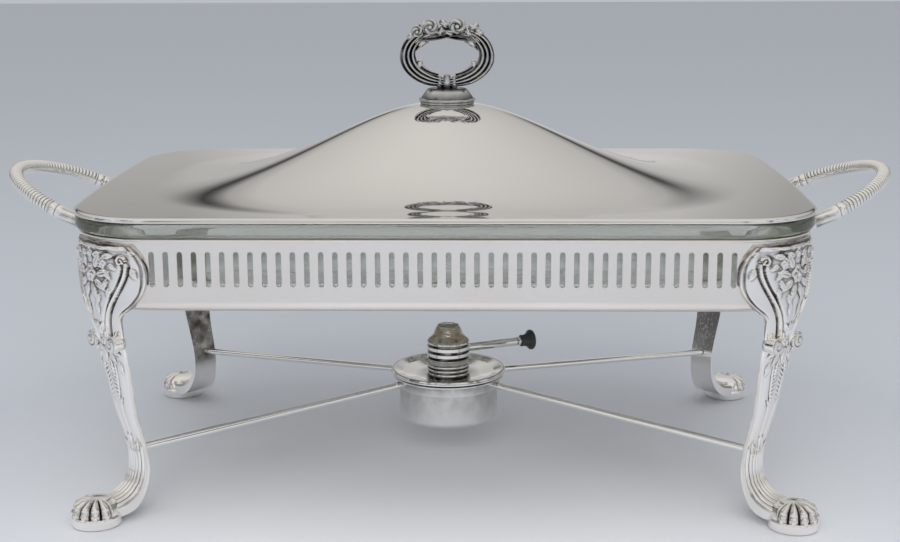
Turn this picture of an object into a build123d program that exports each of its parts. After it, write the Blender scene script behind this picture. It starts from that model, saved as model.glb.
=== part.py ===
from build123d import *
import os
from math import atan2, cos, hypot, pi, radians, sin, sqrt

# All sizes are in millimetres. X runs along the tray, -Y is the front and Z is up.
# The origin is on the table, midway between the four feet.

# Tray frame: a pierced wall that follows the dish
frame_length = 381.2
frame_depth = 238.2
frame_corner_radius = 38.0
end_bow = 4.0
frame_bottom_z = 116.7
frame_wall = 1.4
frame_wall_height = 37.9
curl_radius = 6.0
curl_lip = 1.5

# Slots in the wall
slot_width = 2.9
slot_height = 18.4
slot_pitch = 7.2
slot_bottom_gap = 13.6
long_side_slots = 42
end_slots = 10

# Flat rim soldered on top of the wall
rim_thickness = 1.5
rim_overhang = 4.2
rim_edge_round = 0.6

# Glass dish, hung by its own rim
seat_gap = 0.3
glass_rim_height = 7.6
glass_rim_overhang = 5.9
glass_rim_round = 2.6
glass_body_clearance = 2.6
glass_taper = 6.5
glass_wall = 5.0
glass_floor = 5.5
glass_height = 43.0
glass_outer_round = 12.0
glass_inner_round = 8.0

# Domed lid
lid_overhang = 6.4
lid_wall = 1.2
lid_bead_height = 1.2
lid_bead_width = 3.0
lid_crown = 1.5
dome_half_length = 166.0
dome_half_depth = 118.6
dome_rise = 43.8
dome_top_share = 0.1
dome_fullness = 0.8
dome_length_taper = 1.07
dome_depth_taper = 0.98
dome_top_roundness = 1.8
dome_foot_squareness = 1.2
lid_outline_points = 96

# Finial on the lid
finial_base_height = 8.6
finial_base_radius = 16.3
finial_base_top_radius = 11.3
finial_step = 1.7
finial_foot_inset = 1.0
loop_half_width = 27.3
loop_height = 39.9
loop_thickness = 9.0
loop_round = 2.6
hole_half_width = 17.8
hole_height = 20.8
hole_bottom_gap = 5.6
stud_radius = 2.5
stud_clearance = 0.15
stud_grip_in_loop = 4.0
washer_radius = 8.0
washer_thickness = 1.5
nut_width = 8.0
nut_height = 5.0
stud_end_gap = 1.0

# Legs: cast straps at 45 degrees, with shields round the corners and paws
leg_strap_thickness = 4.0
leg_solder_gap = 0.05
leg_top_gap = 2.8
shield_thickness = 2.4
shield_half_width = 28.4
shield_top_half_width = 24.0
shield_foot_half_width = 8.0
strap_top_width = 23.0
scroll_width = 24.0
shield_drop = 9.0
shield_sink = 0.9
strap_sink = 1.2
shin_width = 16.6
ankle_height = 30.0
ankle_inset = 18.2
knee_height = 97.0
knee_inset = 5.6
paw_radius = 13.5
paw_height = 15.0
paw_sole = 2.5
paw_reach = 9.2
paw_crown_share = 0.33
paw_shoulder_share = 0.82

# Handles: half rings that slope upwards
grip_radius = 4.1
grip_bend_radius = 52.0
grip_straight = 2.5
grip_slope = 24.0
grip_start_gap = 9.8
grip_start_z = 150.5
collar_radius = 5.5
collar_neck_radius = 4.2
collar_plate_width = 15.0
collar_plate_height = 17.0
collar_plate_thickness = 2.2
collar_plate_drop = 3.0

# Burner holder: a ring on four rods
ring_clearance = 0.3
ring_wall = 1.2
ring_height = 6.5
ring_top_z = 50.1
ring_flange_width = 2.4
ring_flange_thickness = 1.0
rod_radius = 1.9
rod_ring_drop = 3.0
rod_leg_z = 35.7

# Spirit burner
cup_radius = 29.2
cup_wall = 0.8
cup_height = 27.6
cup_bottom_round = 3.2
cup_flange_width = 2.6
cap_radius = 34.0
cap_rim_height = 2.4
cap_rim_width = 3.6
cap_sheet = 1.0
cap_edge_round = 0.8
cap_dish_depth = 4.4
cap_dish_radius = 25.4
tower_core_radius = 11.2
tower_ring_radius = 12.8
tower_ring_count = 3
tower_ring_pitch = 2.4
tower_ring_thickness = 1.5
tower_ring_gap = 0.9
tower_bore = 6.6
neck_radius = 8.0
neck_height = 5.6
wick_tube_radius = 6.0
wick_tube_wall = 0.6
wick_tube_depth = 18.0
wick_radius = 5.2
wick_depth = 21.0
wick_tip_gap = 1.0

# Flame regulator: grooved sleeve with a cone, arm and knob, turning on the tower's neck
turning_gap = 0.3
sleeve_height = 13.6
sleeve_groove_count = 3
sleeve_groove_pitch = 3.7
sleeve_groove_height = 1.6
sleeve_groove_depth = 1.3
sleeve_lowest_groove = 3.2
cone_shoulder_step = 0.5
cone_waist_radius = 9.0
cone_waist_height = 4.0
cone_height = 9.0
cone_top_radius = 6.9
cone_mouth_radius = 5.7
cone_wall = 1.2
arm_radius = 2.5
arm_length = 37.0
arm_angle = 25.0
arm_height = 7.3
arm_sink = 2.0
knob_radius = 6.2
knob_collar_radius = 3.8
knob_length = 9.0
knob_disc_length = 3.6
knob_edge_round = 0.8

# Heights that stack up from the ones above
frame_top_z = frame_bottom_z + frame_wall_height
rim_top_z = frame_top_z + rim_thickness
glass_seat_z = rim_top_z + seat_gap
glass_top_z = glass_seat_z + glass_rim_height
bead_bottom_z = glass_top_z + seat_gap
lid_rim_z = bead_bottom_z + lid_bead_height
dome_foot_z = lid_rim_z + lid_crown
leg_top_z = frame_top_z - leg_top_gap
half_length = frame_length / 2
half_depth = frame_depth / 2
bow_radius = (half_depth**2 + end_bow**2) / (2 * end_bow)
corner_y = half_depth - frame_corner_radius
corner_x = half_length - bow_radius + sqrt((bow_radius - frame_corner_radius) ** 2 - corner_y**2)
corner_offset = corner_x - corner_y
wall_reach = (corner_x + corner_y) / sqrt(2) + frame_corner_radius


def plan(outset, z):
    """Plan of the tray grown by outset: straight sides, bowed ends, round corners."""
    end_x = half_length + outset
    side_x = end_x - end_bow
    side_y = half_depth + outset
    back = Line((side_x, side_y), (-side_x, side_y))
    left = ThreePointArc((-side_x, side_y), (-end_x, 0), (-side_x, -side_y))
    front = Line((-side_x, -side_y), (side_x, -side_y))
    right = ThreePointArc((side_x, -side_y), (end_x, 0), (side_x, side_y))
    sharp = make_face([back, left, front, right])
    rounded = fillet(sharp.vertices(), frame_corner_radius + outset)
    return Pos(0, 0, z) * rounded


def slab(outset, z, height):
    return extrude(plan(outset, z), height)


def edges_at(shape, z):
    return shape.edges().filter_by_position(Axis.Z, z - 0.01, z + 0.01)


def end_wall_x(y):
    """Where the bowed end wall stands at a distance y from the middle."""
    return half_length - bow_radius + sqrt(bow_radius**2 - y**2)


def make_frame_block(outset):
    """Filled outer shape of the tray's wall, with its rounded lower edge."""
    block = slab(outset, frame_bottom_z - outset, frame_wall_height + outset)
    return fillet(edges_at(block, frame_bottom_z - outset), curl_radius + outset)


def make_gallery_frame():
    """Thin wall with a curled lower edge, open below and pierced with slots."""
    inside = slab(-frame_wall, frame_bottom_z + frame_wall, frame_wall_height)
    inside = fillet(edges_at(inside, frame_bottom_z + frame_wall), curl_radius - frame_wall)
    opening = slab(-curl_radius - curl_lip, frame_bottom_z - 1, frame_wall_height)
    slot_z = frame_bottom_z + slot_bottom_gap + slot_height / 2
    slot = SlotOverall(slot_height, slot_width)
    cutters = []
    for number in range(long_side_slots):
        x = (number - (long_side_slots - 1) / 2) * slot_pitch
        place = Plane(origin=(x, 0, slot_z), x_dir=(0, 0, 1), z_dir=(0, 1, 0))
        cutters.append(extrude(place * slot, frame_depth, both=True))
    for number in range(end_slots):
        y = (number - (end_slots - 1) / 2) * slot_pitch
        place = Plane(origin=(0, y, slot_z), x_dir=(0, 0, 1), z_dir=(1, 0, 0))
        cutters.append(extrude(place * slot, frame_length, both=True))
    return make_frame_block(0) - inside - opening - cutters


def make_gallery_rim():
    ring = slab(rim_overhang, frame_top_z, rim_thickness)
    ring -= slab(-frame_wall, frame_top_z, rim_thickness)
    outer = [edge for edge in edges_at(ring, rim_top_z) if outside(edge)]
    outer += [edge for edge in edges_at(ring, frame_top_z) if outside(edge)]
    return fillet(outer, rim_edge_round)


def outside(edge):
    """True for an edge that lies outside the frame's wall."""
    middle = edge @ 0.5
    beyond_sides = abs(middle.X) > half_length or abs(middle.Y) > half_depth
    return beyond_sides or hypot(middle.X, middle.Y) > wall_corner_reach()


def wall_corner_reach():
    """Distance from the centre to the middle of a rounded corner of the wall."""
    side = frame_corner_radius * (1 - 1 / sqrt(2))
    return hypot(half_length - end_bow / 2 - side, half_depth - side)


def make_glass_dish():
    """Dish with tapering walls and a thick rim that rests on the tray's rim."""
    base_z = glass_top_z - glass_height
    body_outset = -frame_wall - glass_body_clearance
    foot_outset = body_outset - glass_taper
    body = loft([plan(foot_outset, base_z), plan(body_outset, glass_seat_z)], ruled=True)
    body = fillet(edges_at(body, base_z), glass_outer_round)
    rim = slab(glass_rim_overhang, glass_seat_z, glass_rim_height)
    rim = fillet(edges_at(rim, glass_seat_z) + edges_at(rim, glass_top_z), glass_rim_round)
    hollow_foot = plan(foot_outset - glass_wall, base_z + glass_floor)
    hollow = loft([hollow_foot, plan(body_outset - glass_wall, glass_top_z + 1)], ruled=True)
    hollow = fillet(edges_at(hollow, base_z + glass_floor), glass_inner_round)
    return body + rim - hollow


def dome_reach(angle, share):
    """Plan radius of the dome's level line: share 1 is its foot, nearly square; share 0 its top."""
    length = dome_half_length * share**dome_length_taper
    depth = dome_half_depth * share**dome_depth_taper
    power = dome_top_roundness + dome_foot_squareness * share**2.5
    return (abs(cos(angle) / length) ** power + abs(sin(angle) / depth) ** power) ** (-1 / power)


def dome_line(rim_points, share, inset, drop):
    """Level line of the dome, from its foot at share 1 inwards."""
    rest = max(share - dome_top_share, 0) / (1 - dome_top_share)
    z = dome_foot_z + dome_rise * (1 + cos(pi * rest**dome_fullness)) / 2 - drop
    corners = []
    for point in rim_points:
        angle = atan2(point.Y, point.X)
        reach = dome_reach(angle, share) - inset
        corners.append((reach * cos(angle), reach * sin(angle), z))
    return make_face(Spline(corners, periodic=True))


def margin_line(rim_points, share, inset, drop):
    """Level line of the flat margin: share 0 is the rim, which curves over, and 1 the foot."""
    z = lid_rim_z + lid_crown * (1 - (1 - share) ** 6) - drop
    corners = []
    for point in rim_points:
        angle = atan2(point.Y, point.X)
        rim = hypot(point.X, point.Y)
        reach = rim + (dome_reach(angle, 1) - rim) * share - inset
        corners.append((reach * cos(angle), reach * sin(angle), z))
    return make_face(Spline(corners, periodic=True))


def lid_solid(inset, drop):
    rim_wire = plan(lid_overhang, 0).wire()
    rim_points = [rim_wire @ (n / lid_outline_points) for n in range(lid_outline_points)]
    margin_shares = [0, 0.12, 0.4]
    dome_shares = [0.97, 0.86, 0.74, 0.61, 0.48, 0.35, 0.22, dome_top_share]
    sections = [margin_line(rim_points, share, inset, drop) for share in margin_shares]
    sections += [dome_line(rim_points, share, inset, drop) for share in dome_shares]
    return loft(sections)


def make_lid_shell():
    """Thin domed sheet, flat on top where the finial stands."""
    hole = Pos(0, 0, lid_top_z) * Cylinder(stud_radius + stud_clearance, 6 * lid_wall)
    return lid_solid(0, 0) - lid_solid(lid_wall, lid_wall) - hole


def make_lid_edge_bead():
    bead = slab(lid_overhang, bead_bottom_z, lid_bead_height)
    return bead - slab(lid_overhang - lid_bead_width, bead_bottom_z, lid_bead_height)


def make_finial_base():
    """Turned foot of the finial, with a step and a sloping shoulder."""
    bore = stud_radius + stud_clearance
    z = lid_top_z
    profile = Polyline(
        (bore, z),
        (finial_base_radius - finial_foot_inset, z),
        (finial_base_radius - finial_foot_inset, z + finial_step),
        (finial_base_radius, z + finial_step),
        (finial_base_radius, z + 2 * finial_step),
        (finial_base_top_radius, z + finial_base_height),
        (bore, z + finial_base_height),
        close=True,
    )
    return revolve(Plane.XZ * make_face(profile), Axis.Z)


def make_finial_loop():
    """Oval carrying loop with a thick garland on top and a blind hole for the stud."""
    bottom_z = lid_top_z + finial_base_height
    middle_z = bottom_z + loop_height / 2
    hole_z = bottom_z + hole_bottom_gap + hole_height / 2
    outer = Plane.XZ * Pos(0, middle_z) * Ellipse(loop_half_width, loop_height / 2)
    inner = Plane.XZ * Pos(0, hole_z) * Ellipse(hole_half_width, hole_height / 2)
    loop = extrude(outer, loop_thickness / 2, both=True) - extrude(inner, loop_thickness, both=True)
    loop = fillet(loop.edges().filter_by(GeomType.ELLIPSE), loop_round)
    knuckle_foot = Pos(0, 0, bottom_z) * Cylinder(loop_thickness / 2, hole_bottom_gap, align=standing)
    hanging = (Align.CENTER, Align.CENTER, Align.MAX)
    below = Box(2 * loop_half_width, 2 * loop_thickness, loop_height, align=hanging)
    blind = Cylinder(stud_radius + stud_clearance, stud_grip_in_loop, align=standing)
    return loop + knuckle_foot - Pos(0, 0, bottom_z) * below - Pos(0, 0, bottom_z) * blind


def stud_bottom_z():
    return lid_top_z - lid_wall - washer_thickness - nut_height - stud_end_gap


def make_finial_stud():
    top_z = lid_top_z + finial_base_height + stud_grip_in_loop
    return Pos(0, 0, stud_bottom_z()) * Cylinder(stud_radius, top_z - stud_bottom_z(), align=standing)


def make_finial_washer():
    washer = Cylinder(washer_radius, washer_thickness, align=standing)
    washer -= Cylinder(stud_radius + stud_clearance, washer_thickness, align=standing)
    return Pos(0, 0, lid_top_z - lid_wall - washer_thickness) * washer


def make_finial_nut():
    nut = extrude(RegularPolygon(nut_width / 2, 6, major_radius=False), nut_height)
    nut -= Cylinder(stud_radius + stud_clearance, nut_height, align=standing)
    return Pos(0, 0, lid_top_z - lid_wall - washer_thickness - nut_height) * nut


def diagonal_point(reach, z):
    """Point on the back right leg's middle plane."""
    return Vector(reach / sqrt(2) + corner_offset / 2, reach / sqrt(2) - corner_offset / 2, z)


def leg_stations():
    """Middle line of the strap from shield to paw: outward reach, height and width."""
    on_wall = wall_reach + leg_strap_thickness / 2 - strap_sink
    ankle = on_wall - ankle_inset
    knee = on_wall - knee_inset
    return [
        (on_wall, leg_top_z, strap_top_width),
        (on_wall, frame_bottom_z + 8, strap_top_width),
        (on_wall - 0.3 * knee_inset, 0.7 * frame_bottom_z + 0.3 * knee_height, scroll_width),
        (knee, knee_height, scroll_width),
        (0.8 * knee + 0.2 * ankle, knee_height - 14, shin_width + 3),
        (0.46 * knee + 0.54 * ankle, (knee_height + ankle_height) / 2 - 4, shin_width),
        (0.1 * knee + 0.9 * ankle, ankle_height + 12, shin_width),
        (ankle, ankle_height - 2, shin_width),
        (ankle + 1.8, ankle_height / 2 + 2, shin_width + 2),
        (ankle + 6.5, ankle_height / 4 + 1, shin_width + 4),
        (ankle + 14, ankle_height / 5, shin_width + 5),
    ]


def make_leg_strap():
    """Side profile of the strap, cut to its width as seen from the front."""
    stations = leg_stations()
    outer = []
    inner = []
    for number, (reach, z, width) in enumerate(stations):
        before = stations[max(number - 1, 0)]
        after = stations[min(number + 1, len(stations) - 1)]
        step = Vector(after[0] - before[0], after[1] - before[1]).normalized()
        shift = Vector(-step.Y, step.X) * (leg_strap_thickness / 2)
        outer.append(Vector(reach, z) + shift)
        inner.append(Vector(reach, z) - shift)
    top = Line(inner[0], outer[0])
    toe = Line(outer[-1], inner[-1])
    side = make_face([Spline(outer), toe, Spline(inner[::-1]), top])
    side_plane = Plane(origin=diagonal_point(0, 0), x_dir=(1, 1, 0), z_dir=(1, -1, 0))
    front = two_sided_face([(width / 2, z) for reach, z, width in stations])
    profile = extrude(side_plane * side, 2 * shield_half_width, both=True)
    return profile & extrude(front_plane() * front, frame_length)


def two_sided_face(right):
    """Face between a curve of points and its mirror image across the middle."""
    left = [(-across, z) for across, z in right[::-1]]
    return make_face([Spline(right), Line(right[-1], left[0]), Spline(left), Line(left[-1], right[0])])


def front_plane():
    """Upright plane through the middle of the back right leg's corner, facing outwards."""
    return Plane(origin=diagonal_point(0, 0), x_dir=(-1, 1, 0), z_dir=(1, 1, 0))


def make_paw():
    """Round cushion on a flat sole, standing on the table."""
    crown = paw_radius * paw_crown_share
    shoulder = (paw_radius * paw_shoulder_share, paw_sole + 0.6 * (paw_height - paw_sole))
    quarter = make_face(
        [
            Line((0, 0), (paw_radius, 0)),
            Line((paw_radius, 0), (paw_radius, paw_sole)),
            ThreePointArc((paw_radius, paw_sole), shoulder, (crown, paw_height)),
            Line((crown, paw_height), (0, paw_height)),
            Line((0, paw_height), (0, 0)),
        ]
    )
    paw = revolve(Plane.XZ * quarter, Axis.Z)
    place = diagonal_point(wall_reach + paw_reach, 0)
    return Pos(place.X, place.Y, 0) * paw


def make_shield():
    """Skin round the frame's corner, cut to a rounded shield seen along the diagonal."""
    bottom_z = frame_bottom_z - shield_drop
    skin = slab(shield_thickness, bottom_z, leg_top_z - bottom_z)
    skin -= slab(-shield_sink, bottom_z - 1, leg_top_z - bottom_z + 2)
    right = [
        (shield_top_half_width, leg_top_z),
        (shield_half_width, leg_top_z - 11),
        (shield_half_width - 6.5, frame_bottom_z + 6),
        (shield_foot_half_width, bottom_z),
    ]
    return skin & extrude(front_plane() * two_sided_face(right), frame_length)


def make_leg():
    """Cast leg, soldered to the wall with a hair of solder between them."""
    leg = make_leg_strap() + make_shield() + make_paw()
    return leg - make_frame_block(leg_solder_gap)


def grip_plane():
    """Sloping plane of the right handle: its X runs outwards and its Y along the table's Y."""
    slope = radians(grip_slope)
    start_x = half_length + grip_start_gap - end_bow / 4
    outwards = (cos(slope), 0, sin(slope))
    return Plane(origin=(start_x, 0, grip_start_z), x_dir=outwards, z_dir=(-sin(slope), 0, cos(slope)))


def make_grip():
    plane = grip_plane()
    near_bend = (grip_straight, -grip_bend_radius)
    far_bend = (grip_straight, grip_bend_radius)
    near = Line((0, -grip_bend_radius), near_bend)
    bend = ThreePointArc(near_bend, (grip_straight + grip_bend_radius, 0), far_bend)
    far = Line(far_bend, (0, grip_bend_radius))
    path = plane * Wire([near, bend, far])
    start = Plane(origin=path @ 0, z_dir=path % 0)
    return sweep(start * Circle(grip_radius), path)


def make_collar():
    """Socket between the grip and the end wall, with a leaf plate soldered to the wall."""
    plane = grip_plane()
    slope = radians(grip_slope)
    end = plane.from_local_coords(Vector(0, grip_bend_radius, 0))
    outwards = plane.x_dir
    wall_x = end_wall_x(grip_bend_radius)
    run = (end.X - wall_x) / cos(slope)
    mouth = Plane(origin=end, z_dir=outwards) * Circle(collar_radius)
    neck = Plane(origin=end - outwards * (run / 2), z_dir=outwards) * Circle(collar_neck_radius)
    root_z = end.Z - (end.X - wall_x) * sin(slope) / cos(slope)
    root_plane = Plane(origin=(wall_x - 1, end.Y, root_z), x_dir=(0, 1, 0), z_dir=(1, 0, 0))
    root = root_plane * Circle(collar_radius)
    socket = loft([root, neck, mouth])
    plate_origin = (wall_x - 2, end.Y, root_z - collar_plate_drop)
    plate_plane = Plane(origin=plate_origin, x_dir=(0, 1, 0), z_dir=(1, 0, 0))
    outline = Ellipse(collar_plate_width / 2, collar_plate_height / 2)
    plate = extrude(plate_plane * outline, 2 + collar_plate_thickness)
    return socket + plate - make_frame_block(0)


def make_burner_ring():
    inner = cup_radius + ring_clearance
    band = Cylinder(inner + ring_wall, ring_height, align=standing)
    band = Pos(0, 0, ring_top_z - ring_height) * band
    flange = Cylinder(inner + ring_wall + ring_flange_width, ring_flange_thickness, align=standing)
    flange = Pos(0, 0, ring_top_z - ring_flange_thickness) * flange
    bore = Pos(0, 0, ring_top_z - ring_height) * Cylinder(inner, ring_height, align=standing)
    return band + flange - bore


def make_rod(leg):
    """Rod from the ring's band to the inside of the back right leg."""
    high, low = [station for station in leg_stations() if abs(station[1] - ankle_height) <= 12]
    share = (rod_leg_z - low[1]) / (high[1] - low[1])
    target = diagonal_point(low[0] + (high[0] - low[0]) * share, rod_leg_z)
    start_radius = cup_radius + ring_clearance + ring_wall / 2
    angle = atan2(target.Y, target.X)
    start = Vector(start_radius * cos(angle), start_radius * sin(angle), ring_top_z - rod_ring_drop)
    direction = target - start
    rod = extrude(Plane(origin=start, z_dir=direction) * Circle(rod_radius), direction.length)
    return (rod - ring_core() - leg).solids().sort_by(SortBy.VOLUME)[-1]


def ring_core():
    """Cylinder that fills the ring's band, longer so that the whole rod end is trimmed to it."""
    outer = cup_radius + ring_clearance + ring_wall
    return Pos(0, 0, ring_top_z - 2 * ring_height) * Cylinder(outer, 2 * ring_height, align=standing)


def make_burner_cup():
    bottom_z = cup_top_z - cup_height
    cup = Pos(0, 0, bottom_z) * Cylinder(cup_radius, cup_height, align=standing)
    cup = fillet(edges_at(cup, bottom_z), cup_bottom_round)
    hollow = Pos(0, 0, bottom_z + cup_wall) * Cylinder(cup_radius - cup_wall, cup_height, align=standing)
    hollow = fillet(edges_at(hollow, bottom_z + cup_wall), cup_bottom_round - cup_wall)
    flange = Cylinder(cup_radius + cup_flange_width, cup_wall, align=standing)
    flange -= Cylinder(cup_radius - cup_wall / 2, cup_wall, align=standing)
    return cup - hollow + Pos(0, 0, cup_top_z - cup_wall) * flange


def make_burner_cap():
    """Dished cap: a thick rim that rests on the cup, and a sunk floor that carries the tower."""
    floor = cap_rim_height - cap_dish_depth
    rim_inner = cap_radius - cap_rim_width
    underside = cup_radius - cup_wall - turning_gap
    profile = Polyline(
        (wick_tube_radius, floor),
        (cap_dish_radius, floor),
        (rim_inner, cap_rim_height),
        (cap_radius, cap_rim_height),
        (cap_radius, 0),
        (underside, 0),
        (cap_dish_radius - cap_sheet, floor - cap_sheet),
        (wick_tube_radius, floor - cap_sheet),
        close=True,
    )
    cap = revolve(Plane.XZ * make_face(profile), Axis.Z)
    lip = [edge for edge in cap.edges() if edge.bounding_box().max.X > cap_radius - 0.01]
    return Pos(0, 0, cup_top_z) * fillet(lip, cap_edge_round)


def make_wick_tube():
    tube = Cylinder(wick_tube_radius, wick_tube_depth, align=standing)
    tube -= Cylinder(wick_tube_radius - wick_tube_wall, wick_tube_depth, align=standing)
    return Pos(0, 0, cap_floor_z - wick_tube_depth) * tube


def make_wick():
    bottom_z = cap_floor_z - wick_depth
    top_z = cone_top_z - wick_tip_gap
    return Pos(0, 0, bottom_z) * Cylinder(wick_radius, top_z - bottom_z, align=standing)


def make_vent_tower():
    """Core with cooling rings, and a plain neck for the regulator to turn on."""
    tower = Cylinder(tower_core_radius, tower_height, align=standing)
    for number in range(tower_ring_count):
        z = tower_ring_gap + number * tower_ring_pitch
        tower += Pos(0, 0, z) * Cylinder(tower_ring_radius, tower_ring_thickness, align=standing)
    tower += Cylinder(neck_radius, tower_height + neck_height, align=standing)
    tower -= Cylinder(tower_bore, tower_height + neck_height, align=standing)
    return Pos(0, 0, cap_floor_z) * tower


def make_regulator_cone():
    """Grooved sleeve with a bell-shaped top, hollow so that it turns round the neck."""
    bore = neck_radius + turning_gap
    ceiling = neck_height + turning_gap
    top = sleeve_height + cone_height
    shoulder = (tower_ring_radius - cone_shoulder_step, sleeve_height)
    waist = (cone_waist_radius, sleeve_height + cone_waist_height)
    outline = [
        Polyline((bore, 0), (tower_ring_radius, 0), (tower_ring_radius, sleeve_height), shoulder),
        Spline(shoulder, waist, (cone_top_radius, top)),
        Polyline((cone_top_radius, top), (cone_mouth_radius, top), (cone_mouth_radius, ceiling + cone_wall)),
        Polyline((cone_mouth_radius, ceiling + cone_wall), (bore, ceiling), (bore, 0)),
    ]
    cone = revolve(Plane.XZ * make_face(outline), Axis.Z)
    for number in range(sleeve_groove_count):
        z = sleeve_lowest_groove + number * sleeve_groove_pitch
        groove = Cylinder(tower_ring_radius + 1, sleeve_groove_height, align=standing)
        kept_radius = tower_ring_radius - sleeve_groove_depth
        groove -= Cylinder(kept_radius, sleeve_groove_height, align=standing)
        cone -= Pos(0, 0, z) * groove
    return Pos(0, 0, cone_bottom_z) * cone


def arm_frame(distance):
    """Plane across the regulator's arm at a distance from the burner's axis."""
    angle = radians(arm_angle)
    outwards = Vector(cos(angle), sin(angle), 0)
    origin = outwards * distance + Vector(0, 0, cone_bottom_z + arm_height)
    return Plane(origin=origin, z_dir=outwards)


def make_regulator_arm(cone):
    start = tower_ring_radius - arm_sink
    arm = extrude(arm_frame(start) * Circle(arm_radius), arm_length)
    return arm - cone


def make_regulator_knob():
    """Stepped insulating knob on the end of the arm."""
    start = tower_ring_radius - arm_sink + arm_length
    stem_length = knob_length - knob_disc_length
    knob = extrude(arm_frame(start) * Circle(knob_collar_radius), stem_length)
    disc = extrude(arm_frame(start + stem_length) * Circle(knob_radius), knob_disc_length)
    disc = fillet(disc.edges(), knob_edge_round)
    return knob + disc


def four_corners(shape):
    """The back right piece, its two mirror images and its half turn, with their place names."""
    return {
        "back_right": shape,
        "back_left": mirror(shape, about=Plane.YZ),
        "front_right": mirror(shape, about=Plane.XZ),
        "front_left": Rot(0, 0, 180) * shape,
    }


def make_parts():
    leg = make_leg()
    grip = make_grip()
    cone = make_regulator_cone()
    parts = {
        "gallery_frame": make_gallery_frame(),
        "gallery_rim": make_gallery_rim(),
        "handle_grip_right": grip,
        "handle_grip_left": mirror(grip, about=Plane.YZ),
        "burner_ring": make_burner_ring(),
        "glass_dish": make_glass_dish(),
        "lid_shell": make_lid_shell(),
        "lid_edge_bead": make_lid_edge_bead(),
        "finial_base": make_finial_base(),
        "finial_loop": make_finial_loop(),
        "finial_stud": make_finial_stud(),
        "finial_washer": make_finial_washer(),
        "finial_nut": make_finial_nut(),
        "burner_cup": make_burner_cup(),
        "burner_cap": make_burner_cap(),
        "wick_tube": make_wick_tube(),
        "wick": make_wick(),
        "vent_tower": make_vent_tower(),
        "regulator_cone": cone,
        "regulator_arm": make_regulator_arm(cone),
        "regulator_knob": make_regulator_knob(),
    }
    for place, shape in four_corners(leg).items():
        parts["leg_" + place] = shape
    for place, shape in four_corners(make_rod(leg)).items():
        parts["burner_rod_" + place] = shape
    for place, shape in four_corners(make_collar()).items():
        parts["handle_collar_" + place] = shape
    return parts


standing = (Align.CENTER, Align.CENTER, Align.MIN)
lid_top_z = dome_foot_z + dome_rise
cup_top_z = ring_top_z + seat_gap + cup_wall
cap_floor_z = cup_top_z + cap_rim_height - cap_dish_depth
tower_height = tower_ring_gap + (tower_ring_count - 1) * tower_ring_pitch + tower_ring_thickness
cone_bottom_z = cap_floor_z + tower_height + turning_gap
cone_top_z = cone_bottom_z + sleeve_height + cone_height

os.makedirs("parts", exist_ok=True)
for node, shape in make_parts().items():
    export_step(shape, "parts/" + node + ".step")
    print(node, round(shape.volume), len(shape.solids()))
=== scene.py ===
import bmesh
import bpy
import math
import numpy as np
from mathutils import Matrix, Vector


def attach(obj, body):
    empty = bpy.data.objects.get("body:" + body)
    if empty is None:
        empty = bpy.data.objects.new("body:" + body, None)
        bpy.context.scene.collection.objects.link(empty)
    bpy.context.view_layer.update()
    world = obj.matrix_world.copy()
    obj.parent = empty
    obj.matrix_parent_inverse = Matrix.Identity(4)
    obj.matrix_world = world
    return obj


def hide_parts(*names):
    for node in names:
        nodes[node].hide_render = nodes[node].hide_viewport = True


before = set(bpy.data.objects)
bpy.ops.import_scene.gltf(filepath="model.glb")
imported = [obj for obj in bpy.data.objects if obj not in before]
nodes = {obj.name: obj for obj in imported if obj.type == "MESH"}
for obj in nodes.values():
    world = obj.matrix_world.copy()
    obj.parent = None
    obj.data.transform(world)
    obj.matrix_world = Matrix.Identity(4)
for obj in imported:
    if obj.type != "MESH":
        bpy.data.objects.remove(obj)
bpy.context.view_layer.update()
print("frame loaded with", len(nodes), "nodes")

mm = 0.001


def smoothStep(low, high, value):
    t = np.clip((value - low) / (high - low), 0, 1)
    return t * t * (3 - 2 * t)


def hump(distance, width):
    # bell of height 1: exp(-(distance / width) squared)
    return np.exp(-((distance / width) ** 2))


def smoothCurve(stations, values, at):
    # natural cubic spline through the stations, worked out for all the places in at
    x = np.asarray(stations, float)
    y = np.asarray(values, float)
    gap = np.diff(x)
    size = len(x)
    system = np.eye(size)
    right = np.zeros(size)
    inner = np.arange(1, size - 1)
    system[inner, inner - 1] = gap[:-1]
    system[inner, inner] = 2 * (gap[:-1] + gap[1:])
    system[inner, inner + 1] = gap[1:]
    slope = np.diff(y) / gap
    right[1:-1] = 6 * np.diff(slope)
    bend = np.linalg.solve(system, right)
    cell = np.clip(np.searchsorted(x, at) - 1, 0, size - 2)
    before = x[cell + 1] - at
    after = at - x[cell]
    width = gap[cell]
    return (
        (bend[cell] * before**3 + bend[cell + 1] * after**3) / (6 * width)
        + (y[cell] / width - bend[cell] * width / 6) * before
        + (y[cell + 1] / width - bend[cell + 1] * width / 6) * after
    )


def blurGrid(values, times):
    # each pass replaces a cell by the mean of itself and its four neighbours
    for _ in range(times):
        padded = np.pad(values, 1, mode="edge")
        values = (values + padded[:-2, 1:-1] + padded[2:, 1:-1] + padded[1:-1, :-2] + padded[1:-1, 2:]) / 5
    return values


def hollows(relief, times, strength):
    # how far a point lies below its surroundings, from 0 to 1
    return np.clip((blurGrid(relief, times) - relief) * strength, 0, 1)


def fullTurn(steps):
    # evenly spaced angles once round
    return np.linspace(0, 2 * math.pi, steps, endpoint=False)


def smoothed(values):
    # each value becomes the mean of itself and two neighbours on each side
    return np.convolve(np.pad(values, 2, mode="edge"), np.ones(5) / 5, "valid")


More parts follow.
